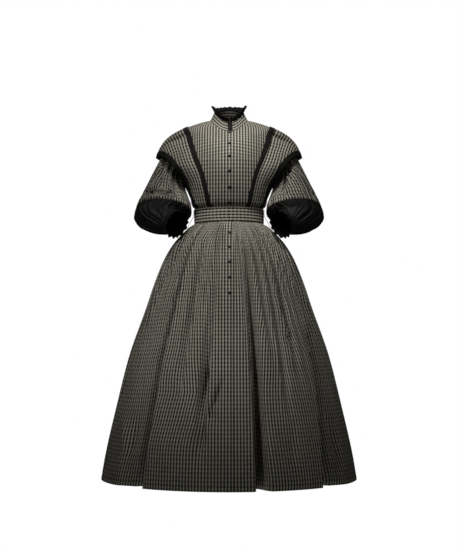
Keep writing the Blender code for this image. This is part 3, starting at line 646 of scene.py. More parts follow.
# %% Skirt folds
SOFT_FOLDS = [
    Fold(-24, -26, 0.007, 0.008, 2.5, 3.6, -0.41, -0.85),
    Fold(-47, -47, 0.014, 0.008, 3.0, 4.5, -0.41, -0.80),
    Fold(-55, -54, 0.009, 0.012, 2.5, 4.0, -0.41, -1.00),
    Fold(-78, -76, 0.016, 0.012, 3.4, 4.5, -0.41, -1.10),
    Fold(-17, -20, 0.009, 0.006, 2.1, 2.7, -0.41, -0.70),
    Fold(6, 5, 0.007, 0.004, 2.1, 2.7, -0.42, -0.66),
    Fold(22, 24, 0.011, 0.008, 2.5, 3.1, -0.41, -0.78),
    Fold(31, 29, 0.014, 0.012, 2.5, 3.6, -0.41, -1.02),
    Fold(50, 52, 0.011, 0.008, 2.5, 3.6, -0.41, -0.72),
    Fold(78, 76, 0.016, 0.012, 3.4, 4.5, -0.41, -1.05),
    Fold(92, 93, 0.011, 0.008, 3.0, 3.6, -0.41, -0.80),
    Fold(102, 100, 0.014, 0.016, 3.4, 4.5, -0.41, -1.10),
    Fold(124, 126, 0.016, 0.008, 3.0, 4.0, -0.41, -0.85),
    Fold(149, 147, 0.014, 0.012, 2.5, 3.6, -0.41, -1.00),
    Fold(170, 171, 0.016, 0.010, 3.0, 3.6, -0.41, -0.90),
    Fold(-92, -94, 0.011, 0.010, 3.0, 3.6, -0.41, -0.90),
    Fold(-101, -102, 0.014, 0.008, 3.0, 3.6, -0.41, -0.76),
    Fold(-122, -121, 0.016, 0.012, 3.4, 4.0, -0.41, -1.05),
    Fold(-146, -148, 0.014, 0.010, 2.5, 4.0, -0.41, -0.88),
    Fold(-155, -154, 0.011, 0.008, 2.5, 3.1, -0.41, -0.74),
    Fold(-174, -172, 0.016, 0.012, 3.0, 3.6, -0.41, -1.00),
]


def fold_depth(folds, height, turn):
    """Depth of the long folds: a steep raised cosine on the near side of each, a flat floor and a long
    raised cosine on its far side, from the fold's own top to its own foot."""
    depth = np.zeros(np.broadcast(height, turn).shape)
    for fold in folds:
        down = np.clip((height - fold.top) / (fold.foot - fold.top), 0, 1)
        middle = fold.top_turn + (fold.foot_turn - fold.top_turn) * down
        away = (turn - middle) * np.sign(middle)
        width = np.where(away < 0, fold.near_width, fold.far_width)
        floor = np.where(away < 0, 0.0, 0.30)
        across = 0.5 + 0.5 * np.cos(np.pi * np.clip((np.abs(away) / width - floor) / (1 - floor), 0, 1))
        size = fold.top_depth + (fold.foot_depth - fold.top_depth) * down
        begins = np.clip((fold.top + 0.06 - height) / 0.10, 0, 1)
        ends = 1.0 if fold.foot <= HEM else np.clip((height - fold.foot + 0.10) / 0.20, 0, 1)
        depth = depth + size * across * begins * ends
    return depth


depth = float(fold_depth(SOFT_FOLDS, -0.60, 50.0))
print(len(SOFT_FOLDS), "soft folds, the one at 50 degrees is", round(depth * 1000, 1), "mm deep")

# %% [markdown]
# Cloth that has been worn and stored also has short creases that don't follow the folds. One group of them
# makes the small pinched spot under the opening, where the skirt was drawn together. The others are faint.

# %% Skirt creases
SKIRT_CREASES = [
    Crease(-0.880, -11.0, -1.030, -12.4, 0.0190, 0.010),
    Crease(-0.985, -9.6, -1.055, -6.4, -0.0120, 0.020),
    Crease(-0.955, -2.4, -1.085, -9.6, 0.0240, 0.012),
    Crease(-1.072, -11.6, -1.090, -4.4, 0.0200, 0.011),
    Crease(-1.090, -11.0, -1.220, -13.8, 0.0190, 0.017),
    Crease(-1.110, -7.0, -1.180, -8.4, -0.0050, 0.020),
    Crease(-0.772, 35.6, -0.800, 40.5, -0.0130, 0.011),
    Crease(-0.818, 34.6, -0.804, 41.5, 0.0120, 0.007),
    Crease(-0.690, 16.5, -0.693, 23.0, 0.0060, 0.007),
    Crease(-1.060, -62.0, -1.180, -56.0, -0.0100, 0.018),
    Crease(-1.090, -50.0, -1.240, -53.0, 0.0110, 0.020),
    Crease(-1.120, 30.0, -1.250, 28.0, 0.0070, 0.022),
    Crease(-1.060, 1.0, -1.064, 9.0, 0.0012, 0.004),
    Crease(-1.225, 2.0, -1.222, 12.0, 0.0010, 0.004),
    Crease(-0.720, 24.0, -0.860, 27.0, 0.0030, 0.010),
    Crease(-0.930, 20.0, -1.120, 22.0, 0.0020, 0.014),
    Crease(-0.950, -28.0, -1.180, -29.0, 0.0030, 0.016),
    Crease(-1.010, -22.0, -1.230, -21.0, 0.0025, 0.014),
    Crease(-1.080, 58.0, -1.260, 60.0, 0.0120, 0.022),
    Crease(-1.000, 125.0, -1.180, 127.0, 0.0030, 0.014),
    Crease(-0.960, -145.0, -1.200, -147.0, 0.0030, 0.014),
    Crease(-1.080, 172.0, -1.100, 164.0, 0.0025, 0.010),
    Crease(-1.130, -100.0, -1.150, -92.0, 0.0025, 0.010),
]
print(len(SKIRT_CREASES), "creases placed on the skirt")

# %% [markdown]
# The surface is the oval ring moved in or out by all of these: fine gathers, folds, creases, and a small dip
# along each seam, where two panels are drawn together. How deep a point lies in a valley is kept too: on a
# ridge the check keeps its size, and the valleys swallow the rest.

# %% Skirt surface
SKIRT_GATHERS = 52
HEM_TURN_SIZE = 0.0078
SEAM_DIP, SEAM_DIP_WIDTH = 0.0022, 0.0045


def skirt_points(height, turn, finish="creased"):
    """Points on the skirt: an oval ring for each height, moved in by gathers, folds, creases and a little at
    each seam, and how deep each point lies in a valley, from 0 to 1. `finish` may leave out the creases and
    seams, or the gathers too."""
    height, turn = np.broadcast_arrays(np.asarray(height, float), np.asarray(turn, float))
    angle = np.radians(turn)
    half_width = read(SKIRT, "height", "half_width", height)
    front_share = read(SKIRT, "height", "front_share", height)
    back_share = read(SKIRT, "height", "back_share", height)
    share = np.where(np.cos(angle) >= 0, front_share, back_share)
    ridge, valley = uneven_gathers(SKIRT_GATHERS, angle)
    clear = eased(5.0, 8.0, np.abs(turn - 1.0))
    folded = fold_depth(SKIRT_FOLDS, height, turn)
    soft = fold_depth(SOFT_FOLDS, height, turn)
    out = read(SKIRT, "height", "gather", height) * ridge * clear - folded - soft
    if finish == "creased":
        from_seam = np.minimum(np.abs(np.abs(turn) - 90.0), 180.0 - np.abs(turn))
        dip = SEAM_DIP * np.exp(-((np.radians(from_seam) * half_width / SEAM_DIP_WIDTH) ** 2))
        out = out - creases(SKIRT_CREASES, height, turn, HEM_TURN_SIZE) - dip
    if finish == "plain":
        out = -folded
    x = (half_width + out) * np.sin(angle)
    y = -(half_width * share + out) * np.cos(angle)
    top = eased(-0.95, -0.42, height)
    hidden = valley**1.5 * top * clear
    hidden = hidden + np.clip(soft / 0.014, 0, 1) * 0.5 + np.clip(folded / 0.04, 0, 1) * 0.35
    return np.stack([x, y, height], axis=-1), hidden


print("centre front at the hem", np.round(skirt_points(HEM, 0.0)[0], 3))

# %% [markdown]
# Rows of points lie closer together near the waist, where the gathers are. The flat measure goes across each
# row. It takes the length along the gathers and adds, in the valleys, as much as is missing from the panel's
# own width. Upwards it is the length on the plain surface, so that the check stays level at the hem.

# %% Skirt rows and flat measure
def skirt_rows():
    """Row heights from the hem up to the waist, closer together where the gathers are."""
    low = np.linspace(HEM, -0.50, 58, endpoint=False)
    return np.concatenate([low, np.linspace(-0.50, WAIST - SEAM_GAP, 36)])


def skirt_flat(rows, turns, width):
    """The cloth's coordinates: across, arc length plus what the valleys hide, so that each row takes the
    whole width; up, arc length from the hem on the plain surface."""
    gathered, hidden = skirt_points(rows, turns, "gathered")
    plain, _ = skirt_points(rows, turns, "plain")
    steps = np.linalg.norm(np.diff(gathered, axis=1), axis=-1)
    sunk = (hidden[:, 1:] + hidden[:, :-1]) / 2 + 0.02
    missing = np.clip(width - steps.sum(axis=1), 0, None)
    spread = steps * sunk
    steps = steps + spread * (missing / spread.sum(axis=1))[:, None]
    return running_sum(steps), length_along(plain, 0)


print("skirt rows", len(skirt_rows()), "gathers", SKIRT_GATHERS)

# %% [markdown]
# The two fronts meet at the button line, the right one on top. The left front dips under it, as the
# underlap of a real placket does.

# %% Skirt panels
SKIRT_COLUMNS = 200


def lap_turn(x, half_width):
    """The turn at which a ring passes a given x."""
    return np.degrees(np.arcsin(x / half_width))


def sunk_lap(points):
    """The left front with its edge dipped under the right one, as far as the lap reaches."""
    under = 1 - eased(LAP_FROM, LAP_TO, points[..., 0])
    return moved_out(points, -LAP_SINK * under)


def skirt_front(side, width):
    """Grid and flat measure of one front; `side` is -1 for the right, which laps over, and 1 for the left."""
    rows = skirt_rows()
    half_width = read(SKIRT, "height", "half_width", rows)
    edge = lap_turn(BUTTON_LINE - side * LAP_HALF, half_width)
    share = np.linspace(0.0, 1.0, SKIRT_COLUMNS)
    turns = edge[:, None] + (side * 90.0 - edge)[:, None] * share
    points, _ = skirt_points(rows[:, None], turns)
    if side > 0:
        points = sunk_lap(points)
    across, up = skirt_flat(rows[:, None], turns, width)
    return points, np.stack([side * (across - LAP_HALF), up], axis=-1)


def skirt_back(side, width):
    """Grid and flat measure of one back, from centre back to the side seam."""
    rows = skirt_rows()
    turns = side * np.linspace(180.0, 90.0, SKIRT_COLUMNS)[None, :] + 0 * rows[:, None]
    points, _ = skirt_points(rows[:, None], turns)
    across, up = skirt_flat(rows[:, None], turns, width)
    return points, np.stack([-side * across, up], axis=-1)


lap_edge = float(lap_turn(BUTTON_LINE + LAP_HALF, SKIRT[-1].half_width))
print("at the waist the right front laps over to a turn of", round(lap_edge, 1), "degrees")

# %% [markdown]
# Each panel is cut to its own width: the longest of its rows, found at the hem. A panel whose columns were
# built the other way round is turned about, so that every grid runs to the wearer's left and its faces point
# outwards.

# %% Skirt pieces
SKIRT_WIDTHS = {"front_right": 0.84, "front_left": 0.92, "back_right": 0.89, "back_left": 0.90}


def skirt_piece(name, build, side, turned):
    """A panel with its columns running to the wearer's left."""
    width = SKIRT_WIDTHS[name]
    points, flat = build(side, width)
    if turned:
        points, flat = points[:, ::-1], flat[:, ::-1]
    piece = cloth_piece(f"skirt_{name}", points, flat, check_cloth)
    return piece


skirt_piece("front_right", skirt_front, -1, True)
skirt_piece("front_left", skirt_front, 1, False)
skirt_piece("back_right", skirt_back, -1, False)
skirt_piece("back_left", skirt_back, 1, True)

# %% [markdown]
# ## The bodice
# Rings again, from waist to neck. The rings tip forward and up over the shoulders, because the front neck
# lies lower than the back. Armholes are bites out of the side edges. A little fullness is gathered into the
# waist, which the belt holds.

# %% Body rings
def ring_points(table, side, turn):
    """Points on an oval ring: x from the half width, y from the front or back depth, and a height that
    slides from the ring's height at its sides to its height at centre front or back."""
    side, turn = np.broadcast_arrays(np.asarray(side, float), np.radians(turn))
    across, along = np.sin(turn), np.cos(turn)
    in_front = along >= 0
    front_depth = read(table, "side", "front_depth", side)
    back_depth = read(table, "side", "back_depth", side)
    level = np.where(in_front, read(table, "side", "front", side), read(table, "side", "back", side))
    drawn_in = 1 - read(table, "side", "corner", side) * np.sin(2 * turn) ** 2
    x = read(table, "side", "half_width", side) * across * drawn_in
    y = -np.where(in_front, front_depth, back_depth) * along
    return np.stack([x, y, side + (level - side) * along**2], axis=-1)


print("centre front at the chest", np.round(ring_points(BODICE, -0.160, 0.0), 3))

# %% [markdown]
# The armhole is half an ellipse cut out of the side edge of each piece. The rows of points crowd together at
# its top and bottom, where its edge runs nearly level.

# %% Armholes and rows
ARMHOLE_MIDDLE = (ARMHOLE_TOP + ARMHOLE_BOTTOM) / 2
ARMHOLE_REACH = (ARMHOLE_TOP - ARMHOLE_BOTTOM) / 2


def armhole_opening(rows):
    """How far the armhole bites into the bodice from its side line, in degrees: a half ellipse."""
    reach = np.clip((rows - ARMHOLE_MIDDLE) / ARMHOLE_REACH, -1, 1)
    return ARMHOLE_HALF_TURN * np.sqrt(1 - reach**2)


def bodice_rows():
    """Row heights at the sides, closer together at both ends of the armhole."""
    below = np.linspace(WAIST + SEAM_GAP, ARMHOLE_BOTTOM, 56, endpoint=False)
    armhole = ARMHOLE_MIDDLE - ARMHOLE_REACH * np.cos(np.linspace(0.0, np.pi, 52))
    above = np.linspace(ARMHOLE_TOP, 0.0, 22)[1:]
    return np.concatenate([below, armhole, above])


print("bodice rows", len(bodice_rows()), "armhole", round(2 * ARMHOLE_REACH * 1000), "mm deep")

# %% [markdown]
# On the body the check runs plumb at the middle and follows the cloth at the sides, so the flat measure
# changes from one to the other between 38 and 62 degrees. Short creases rise from the belt, where the
# fullness is held, and two lie behind the armholes.

# %% The bodice's flat measure
PLUMB_ROUND = 0.19
BODICE_TURN_SIZE = 0.0024
BODICE_PHASE = 0.003
BODICE_CREASES = [
    Crease(-0.322, -24.0, -0.270, -20.0, 0.0016, 0.005),
    Crease(-0.322, -16.0, -0.285, -13.0, 0.0014, 0.004),
    Crease(-0.322, -9.0, -0.292, -8.0, 0.0012, 0.004),
    Crease(-0.322, 10.0, -0.288, 8.0, 0.0012, 0.004),
    Crease(-0.322, 17.0, -0.280, 14.0, 0.0015, 0.005),
    Crease(-0.322, 25.0, -0.275, 22.0, 0.0016, 0.005),
    Crease(-0.322, 152.0, -0.265, 156.0, 0.0016, 0.006),
    Crease(-0.322, 168.0, -0.280, 170.0, 0.0014, 0.005),
    Crease(-0.322, 184.0, -0.272, 183.0, 0.0015, 0.005),
    Crease(-0.322, 197.0, -0.284, 194.0, 0.0014, 0.005),
    Crease(-0.322, 209.0, -0.266, 205.0, 0.0016, 0.006),
    Crease(-0.120, 145.0, -0.170, 128.0, 0.0018, 0.010),
    Crease(-0.125, 214.0, -0.172, 230.0, 0.0018, 0.010),
]


def bodice_grid(rows, turns, flip):
    """Points with creases, and the flat measure from the middle line and up from the waist. Near the middle
    it is x carried onto a round, and further out it is the length along the cloth."""
    points = ring_points(BODICE, rows[:, None], turns)
    depth = creases(BODICE_CREASES, rows[:, None], turns, BODICE_TURN_SIZE)
    facing = -1 if flip else 1
    points = moved_out(points, -facing * depth)
    plumb = PLUMB_ROUND * np.arcsin(points[..., 0] / PLUMB_ROUND)
    steps = np.abs(np.diff(plumb, axis=1))
    cloth = np.linalg.norm(np.diff(points, axis=1), axis=-1)
    from_middle = np.abs(((turns + 90.0) % 180.0) - 90.0)
    share = eased(38.0, 62.0, (from_middle[:, 1:] + from_middle[:, :-1]) / 2)
    steps = steps + (cloth - steps) * share
    return points, running_sum(steps), length_along(points, 0)


print("creases on the bodice", len(BODICE_CREASES))

# %% [markdown]
# The bodice is cut as two fronts and one back. The back is one wide piece, because a seam in it would cut
# through the check for no gain in shape. Each piece has its columns running to the wearer's left.

# %% Bodice pieces
def bodice_front(side):
    """One front, from the lap edge to the side seam and armhole."""
    rows = bodice_rows()
    half_width = read(BODICE, "side", "half_width", rows)
    edge = lap_turn(BUTTON_LINE - side * LAP_HALF, half_width)
    reach = read(BODICE, "side", "front_depth", rows)
    outer = side * (90.0 - armhole_opening(rows) - np.degrees(SEAM_GAP / reach))
    share = np.linspace(0.0, 1.0, 64)
    turns = edge[:, None] + (outer - edge)[:, None] * share
    points, across, up = bodice_grid(rows, turns, side < 0)
    flat = np.stack([side * (across - LAP_HALF), up + BODICE_PHASE], axis=-1)
    if side > 0:
        return sunk_lap(points), flat
    return points[:, ::-1], flat[:, ::-1]


def bodice_back():
    """The back in one piece, from the wearer's left side seam round to the right."""
    rows = bodice_rows()
    reach = read(BODICE, "side", "back_depth", rows)
    start = 90.0 + armhole_opening(rows) + np.degrees(SEAM_GAP / reach)
    share = np.linspace(0.0, 1.0, 130)
    turns = start[:, None] + (360.0 - 2 * start)[:, None] * share
    points, across, up = bodice_grid(rows, turns, False)
    return points, np.stack([across - across[:, -1:] / 2, up + BODICE_PHASE], axis=-1)


for name, grid, cut, area in (
    ("front_right", bodice_front(-1), (0.27, 0.42), 0.085),
    ("front_left", bodice_front(1), (0.27, 0.42), 0.085),
    ("back", bodice_back(), (0.46, 0.44), 0.15),
):
    piece = cloth_piece(f"bodice_{name}", *grid, check_cloth)

# %% [markdown]
# ## The collar
# The stand collar is a straight band, so its check runs round the neck: up the collar is across the cloth,
# and the flat measure takes its two lengths the other way about. It starts a little below the neck seam, so
# that no gap shows, and its ends meet at the button line.

# %% Collar
def collar_band():
    """The collar's rings, from one end at the button line round the neck to the other."""
    rows = np.linspace(COLLAR[0].side - 0.0025, COLLAR[-1].side, 16)
    half_width = read(COLLAR, "side", "half_width", rows)
    start = lap_turn(BUTTON_LINE + SEAM_GAP, half_width)
    finish = lap_turn(BUTTON_LINE - SEAM_GAP, half_width) + 360.0
    turns = start[:, None] + (finish - start)[:, None] * np.linspace(0.0, 1.0, 160)
    return ring_points(COLLAR, rows[:, None], turns)


points = collar_band()
flat = grid_flat(points, warp_round=True) + (0.001, 0.0)
piece = cloth_piece("collar", points, flat, check_cloth)

# %% [markdown]
# ## The collar's frills
# A frill is a strip gathered along one edge: the gathered edge is nearly straight, and the waves open out
# towards the free edge. It could be modelled wave by wave, but one uneven sine along the strip gives every
# wave its own width and height. A narrow frill stands up along the collar's top edge.

# %% Collar frill
COLLAR_FRILL_WAVES = 22


def waves(count, columns, seed):
    """Uneven waves: a sine whose phase and size drift slowly along the strip."""
    t = np.linspace(0.0, 1.0, columns)
    phase = 2 * np.pi * count * t + 0.9 * np.sin(2 * np.pi * 3 * t + seed)
    phase = phase + 0.6 * np.sin(2 * np.pi * 7 * t + 2 * seed)
    size = 1 + 0.22 * np.sin(2 * np.pi * 5 * t + seed) + 0.15 * np.sin(2 * np.pi * 11 * t + 1.7 * seed)
    return np.sin(phase) * size


def collar_frill():
    """Foot just inside the collar's top edge, free edge some 18 mm up and 6 mm out, with waves that grow
    as it rises and a free edge that rises and falls with them."""
    columns = COLLAR_FRILL_WAVES * 16
    start = float(lap_turn(BUTTON_LINE + 2 * SEAM_GAP, COLLAR[-1].half_width))
    turns = np.linspace(start, 358.0 + start, columns)
    foot = ring_points(COLLAR, COLLAR[-1].side - 0.003, turns)
    angle = np.radians(turns)
    away = np.stack([np.sin(angle), -np.cos(angle), np.zeros_like(angle)], axis=-1)
    t = np.linspace(0.0, 1.0, 10)[:, None, None]
    wave = waves(COLLAR_FRILL_WAVES, columns, 0.7)
    tall = 0.0175 + 0.0080 * np.sin(angle) ** 2 + 0.0020 * np.roll(wave, 4)
    width = (tall * np.where(np.cos(angle) < 0, 1 + 0.16 * np.cos(angle), 1.0))[None, :, None]
    wave = wave[None, :, None]
    out = -0.0022 * (1 - t) ** 2 + 0.0062 * t**1.5 + (0.0002 + 0.0042 * t**1.3) * wave
    return foot + away * out + np.array([0, 0, 1]) * (0.0014 + width * t)


points = collar_frill()
piece = cloth_piece(
    "collar_frill", points, grid_flat(points), frill_cloth, thickness=RIBBON, slot="dark_ribbon"
)

# %% [markdown]
# A second, short frill runs down over the opening of the collar and hides where its ends meet. It is
# gathered along its middle, so both of its edges ripple.

# %% Front frill
def front_frill():
    """A short double frill over the collar's opening, rippled at both edges."""
    rows = np.linspace(-0.051, -0.016, 46)
    depths = smooth(column(COLLAR, "front"), -column(COLLAR, "front_depth"), rows)
    across = np.linspace(-1.0, 1.0, 9)[None, :]
    wave = np.sin(2 * np.pi * 4.5 * np.linspace(0.0, 1.0, 46) + 0.6)[:, None]
    x = BUTTON_LINE + 0.0075 * across * (1 + 0.22 * wave)
    y = depths[:, None] - 0.0018 - 0.0012 * across**2 - 0.0030 * across * np.abs(across) * wave
    z = rows[:, None] + 0 * across
    return np.stack([x, y, z], axis=-1)


points = front_frill()
piece = cloth_piece(
    "front_frill", points, grid_flat(points), frill_cloth, thickness=RIBBON, slot="dark_ribbon"
)

# %% [markdown]
# ## Bretelles
# A bretelle is a wing of cloth that runs from the waist over the shoulder and down the back, sewn along its
# inner edge and free along its outer one. Across the wing each section is a Hermite curve: it leaves the
# bodice square to the seam and flat on it, and falls off the shoulder along the way the free edge hangs.

# %% Sections of a wing
def bretelle_table():
    """Rows from the front waist over the shoulder to the back waist."""
    front = [row._replace(back_y=0.0) for row in BRETELLE]
    back = [
        row._replace(turn=180.0 - row.turn, front_y=row.back_y, back_y=0.0, fall_y=-row.fall_y)
        for row in BRETELLE[-2::-1]
    ]
    return front + back


def bretelle_wing(shares, columns=190):
    """Points of the left wing. `shares` gives, from the width there, how far across each row lies."""
    table = bretelle_table()
    keys = np.arange(len(table), dtype=float)
    at = np.linspace(0.0, keys[-1], columns)

    def along(name):
        return smooth(keys, column(table, name), at)

    def vector(x, y, z):
        return np.stack([along(x), along(y), along(z)], axis=-1)

    height, turn = along("height"), along("turn")
    on_bodice = ring_points(BODICE, height, turn)
    around = ring_points(BODICE, height, turn + 0.5) - on_bodice
    facing = unit(np.cross(around, ring_points(BODICE, height + 0.001, turn) - on_bodice))
    inner = on_bodice + facing * (CLOTH + 0.0012)
    outer = vector("edge_x", "front_y", "edge_z")
    width = np.linalg.norm(outer - inner, axis=-1)
    pull = (width * along("swell"))[:, None]
    leave = unit(np.cross(np.gradient(inner, axis=0), facing)) * pull
    fall = unit(vector("fall_x", "fall_y", "fall_z")) * pull
    t = shares(width)[..., None]
    return hermite(t, inner, leave, outer, fall), width


print("wing sections", len(bretelle_table()))

# %% [markdown]
# The wing takes the whole width of each section. Its check is measured from the inner seam, because that is
# the edge the maker lays along the grain of the cloth.

# %% Bretelle wings
def whole_width(width):
    """All the way across, outer edge first."""
    return np.linspace(1.0, 0.0, 30)[:, None] + 0 * width


wing, wing_width = bretelle_wing(whole_width)
wing_flat = grid_flat(wing, warp_round=True) * (-1, 1)
wing_flat[..., 0] -= wing_flat[-1:, :, 0]
wing_flat[..., 1] = wing_flat[-1:, :, 1]
for name, mirrored in SIDES:
    flat = wing_flat * ((-1, 1) if mirrored else (1, 1))
    piece = cloth_piece(f"bretelle_{name}", wing, flat, check_cloth, mirrored=mirrored)
print("a wing is", round(wing_width.max() * 1000), "mm wide at the shoulder")

# %% [markdown]
# The ribbons lie on the wing along both of its edges. They are made from the wing's own sections and then
# moved out by their thickness, so they follow every curve under them.

# %% Ribbons on the wings
def outer_ribbon(width):
    """A ribbon's width in from the free edge, as shares of the wing's width."""
    return 1 - np.linspace(0.0, 1.0, 7)[:, None] * RIBBON_WIDTH / width


def inner_ribbon(width):
    """A ribbon's width out from the seam, as shares of the wing's width."""
    return np.linspace(1.0, 0.0, 7)[:, None] * RIBBON_WIDTH / width


for kind, shares in (("outer", outer_ribbon), ("inner", inner_ribbon)):
    points = moved_out(bretelle_wing(shares)[0], SEAM_GAP + RIBBON)
    flat = grid_flat(points, warp_round=True)
    for name, mirrored in SIDES:
        piece = cloth_piece(
            f"trim_{kind}_{name}", points, flat, ribbon_cloth,
            thickness=RIBBON, slot="dark_ribbon", mirrored=mirrored,
        )

# %% [markdown]
# ## Sleeves
# The sleeve is a wide tube, gathered at the armhole and again into a black band round the elbow, over which
# it blouses. Its rings are tilted ovals, and the tilt grows towards the bent elbow. The first ring is fitted
# to the armhole's edge, so that sleeve and bodice meet without a gap.

# %% Sleeve rings
def sleeve_points(rows, angles, gathers, shift):
    """Points of the left sleeve: a tilted oval for each row. Angle 0 is the outer line, 90 the front."""
    keys = np.arange(len(SLEEVE), dtype=float)
    rows = np.asarray(rows, dtype=float)[:, None]
    angle = np.radians(np.asarray(angles))[None, :]

    def at(name):
        return smooth(keys, column(SLEEVE, name), rows)

    outer_x, outer_z, under_x, under_z = at("outer_x"), at("outer_z"), at("under_x"), at("under_z")
    half = np.hypot(outer_x - under_x, outer_z - under_z) / 2
    lateral_x = (outer_x - under_x) / (2 * half)
    lateral_z = (outer_z - under_z) / (2 * half)
    tip = np.radians(at("tip"))
    ridge, _ = uneven_gathers(gathers, angle, shift)
    wide = (half + at("gather") * ridge) * np.cos(angle)
    deep = (at("half_depth") + at("gather") * ridge) * np.sin(angle)
    x = (outer_x + under_x) / 2 + wide * lateral_x - deep * np.sin(tip) * lateral_z
    y = at("middle_y") - deep * np.cos(tip)
    z = (outer_z + under_z) / 2 + wide * lateral_z + deep * np.sin(tip) * lateral_x
    return np.stack([x, y, z], axis=-1)


def armhole_edge(angles):
    """The sleeve's first ring: the armhole's edge on the bodice, shoulder point at 0."""
    down = np.radians(np.where(angles <= 180, angles, 360 - angles))
    rows = ARMHOLE_MIDDLE + ARMHOLE_REACH * np.cos(down)
    cut = armhole_opening(rows)
    turn = np.where(angles <= 180, 90.0 - cut, 90.0 + cut)
    return ring_points(BODICE, rows, turn) + np.array([2 * SEAM_GAP, 0, 0])


print("shoulder point of the sleeve", np.round(armhole_edge(np.array([0.0]))[0], 3))

# %% [markdown]
# The two sleeves share their rings but not their creases: the wearer's right sleeve has collapsed a little
# above the band, and its cloth lies in short folds across. Along the sleeve a crease counts in rows, round
# it in degrees, and two sizes turn both into metres.

# %% Sleeve creases
ROW_SIZE = 0.045
TURN_SIZE = 0.0015
SLEEVE_CREASES = {
    "left": [
        Crease(0.5, 52.0, 3.2, 50.0, 0.0110, 0.011),
        Crease(1.0, 62.0, 4.6, 90.0, 0.0220, 0.011),
        Crease(0.8, 88.0, 6.0, 118.0, 0.0300, 0.018),
        Crease(0.6, 116.0, 4.8, 140.0, 0.0220, 0.018),
        Crease(0.8, 140.0, 4.8, 150.0, 0.0090, 0.014),
        Crease(1.8, 30.0, 3.4, 38.0, 0.0060, 0.012),
        Crease(3.9, 22.0, 4.3, 52.0, 0.0040, 0.010),
        Crease(5.9, 12.0, 6.3, 50.0, 0.0050, 0.010),
        Crease(5.8, 96.0, 6.5, 124.0, 0.0070, 0.010),
        Crease(0.8, 215.0, 4.6, 224.0, 0.0130, 0.013),
        Crease(0.8, 250.0, 3.8, 258.0, 0.0140, 0.013),
        Crease(0.8, 288.0, 4.2, 292.0, 0.0120, 0.013),
        Crease(5.6, 300.0, 6.3, 260.0, 0.0090, 0.012),
    ],
    "right": [
        Crease(0.5, 52.0, 2.6, 42.0, 0.0110, 0.010),
        Crease(0.6, 74.0, 4.8, 90.0, 0.0210, 0.012),
        Crease(0.6, 98.0, 6.2, 120.0, 0.0300, 0.018),
        Crease(0.8, 128.0, 5.0, 142.0, 0.0200, 0.018),
        Crease(1.4, 18.0, 4.8, 24.0, 0.0080, 0.010),
        Crease(1.8, 24.0, 5.0, 58.0, -0.0110, 0.009),
        Crease(2.0, 38.0, 5.5, 72.0, 0.0170, 0.008),
        Crease(5.5, 70.0, 6.4, 98.0, -0.0120, 0.010),
        Crease(5.8, 20.0, 6.1, 72.0, 0.0220, 0.013),
        Crease(6.2, 84.0, 5.7, 108.0, 0.0120, 0.008),
        Crease(6.6, 20.0, 6.7, 80.0, -0.0070, 0.010),
        Crease(0.8, 220.0, 4.8, 226.0, 0.0130, 0.013),
        Crease(0.8, 254.0, 4.0, 256.0, 0.0140, 0.013),
        Crease(0.8, 290.0, 4.4, 296.0, 0.0120, 0.013),
        Crease(5.5, 310.0, 6.2, 268.0, 0.0110, 0.012),
    ],
}
print("creases on the sleeves", {name: len(table) for name, table in SLEEVE_CREASES.items()})

# %% [markdown]
# A tube is the part of the sleeve between two of its rows. Sleeve, band and cuff are all cut from the same
# rings, so each starts just where the one before it ends.

# %% Tubes
def tube(first, last, count, columns, gathers, shift, table=()):
    """Rings of the sleeve between two rows, top ring last so that the faces point outwards."""
    angles = np.linspace(0.0, 360.0, columns, endpoint=False)
    rows = np.linspace(first, last, count)
    points = sleeve_points(rows, angles, gathers, shift)
    if first == 0:
        blend = (np.clip(1 - rows, 0, 1) ** 2)[:, None, None]
        points = points + (armhole_edge(angles) - points[0]) * blend
    points = points[::-1, ::-1]
    in_size = [c._replace(up_from=c.up_from * ROW_SIZE, up_to=c.up_to * ROW_SIZE) for c in table]
    depth = creases(in_size, rows[::-1, None] * ROW_SIZE, angles[None, ::-1], TURN_SIZE)
    ends = np.minimum(rows - first, last - rows)[::-1, None]
    return moved_out(points, -depth * eased(0.0, 0.4, ends), closed=True)


def tube_flat(points, width):
    """Flat measure round and along a tube: the fine gathers take up the cloth evenly, so the lines of the
    check draw together towards each gathered end."""
    flat = grid_flat(points, closed=True)
    across = flat[..., 0]
    taken_up = np.clip(width / across[:, -1:], 1.0, 1.45)
    return np.stack([-(across - across[:, -1:] / 2) * taken_up, flat[..., 1]], axis=-1)


above_elbow = grid_flat(tube(4, 5, 2, 90, 0, 0.0), closed=True)
print("girth of the sleeve above the elbow", round(above_elbow[0, -1, 0], 3))

# %% [markdown]
# The sleeve is wider than its rings are round, so its gathers take up the rest. The right sleeve is built as
# a left one with its own creases and then mirrored, which also keeps its faces the right way out.

# %% Sleeves
SLEEVE_WIDTH = 0.64
SLEEVE_GATHERS = 34
SLEEVE_SHIFT = {"left": 1.9, "right": 0.0}
TUBE_COLUMNS = 200
for name, mirrored in SIDES:
    points = tube(0, BAND_START, 92, TUBE_COLUMNS, SLEEVE_GATHERS, SLEEVE_SHIFT[name], SLEEVE_CREASES[name])
    flat = tube_flat(points, SLEEVE_WIDTH)
    piece = cloth_piece(f"sleeve_{name}", points, flat, check_cloth, closed=True, mirrored=mirrored)

# %% [markdown]
# ## Bands
# Below the blouse of the sleeve the cloth turns under and is drawn in to the forearm. That part is black
# cloth, puckered where it is gathered. Long shallow creases run down it from one gathered edge to the other.

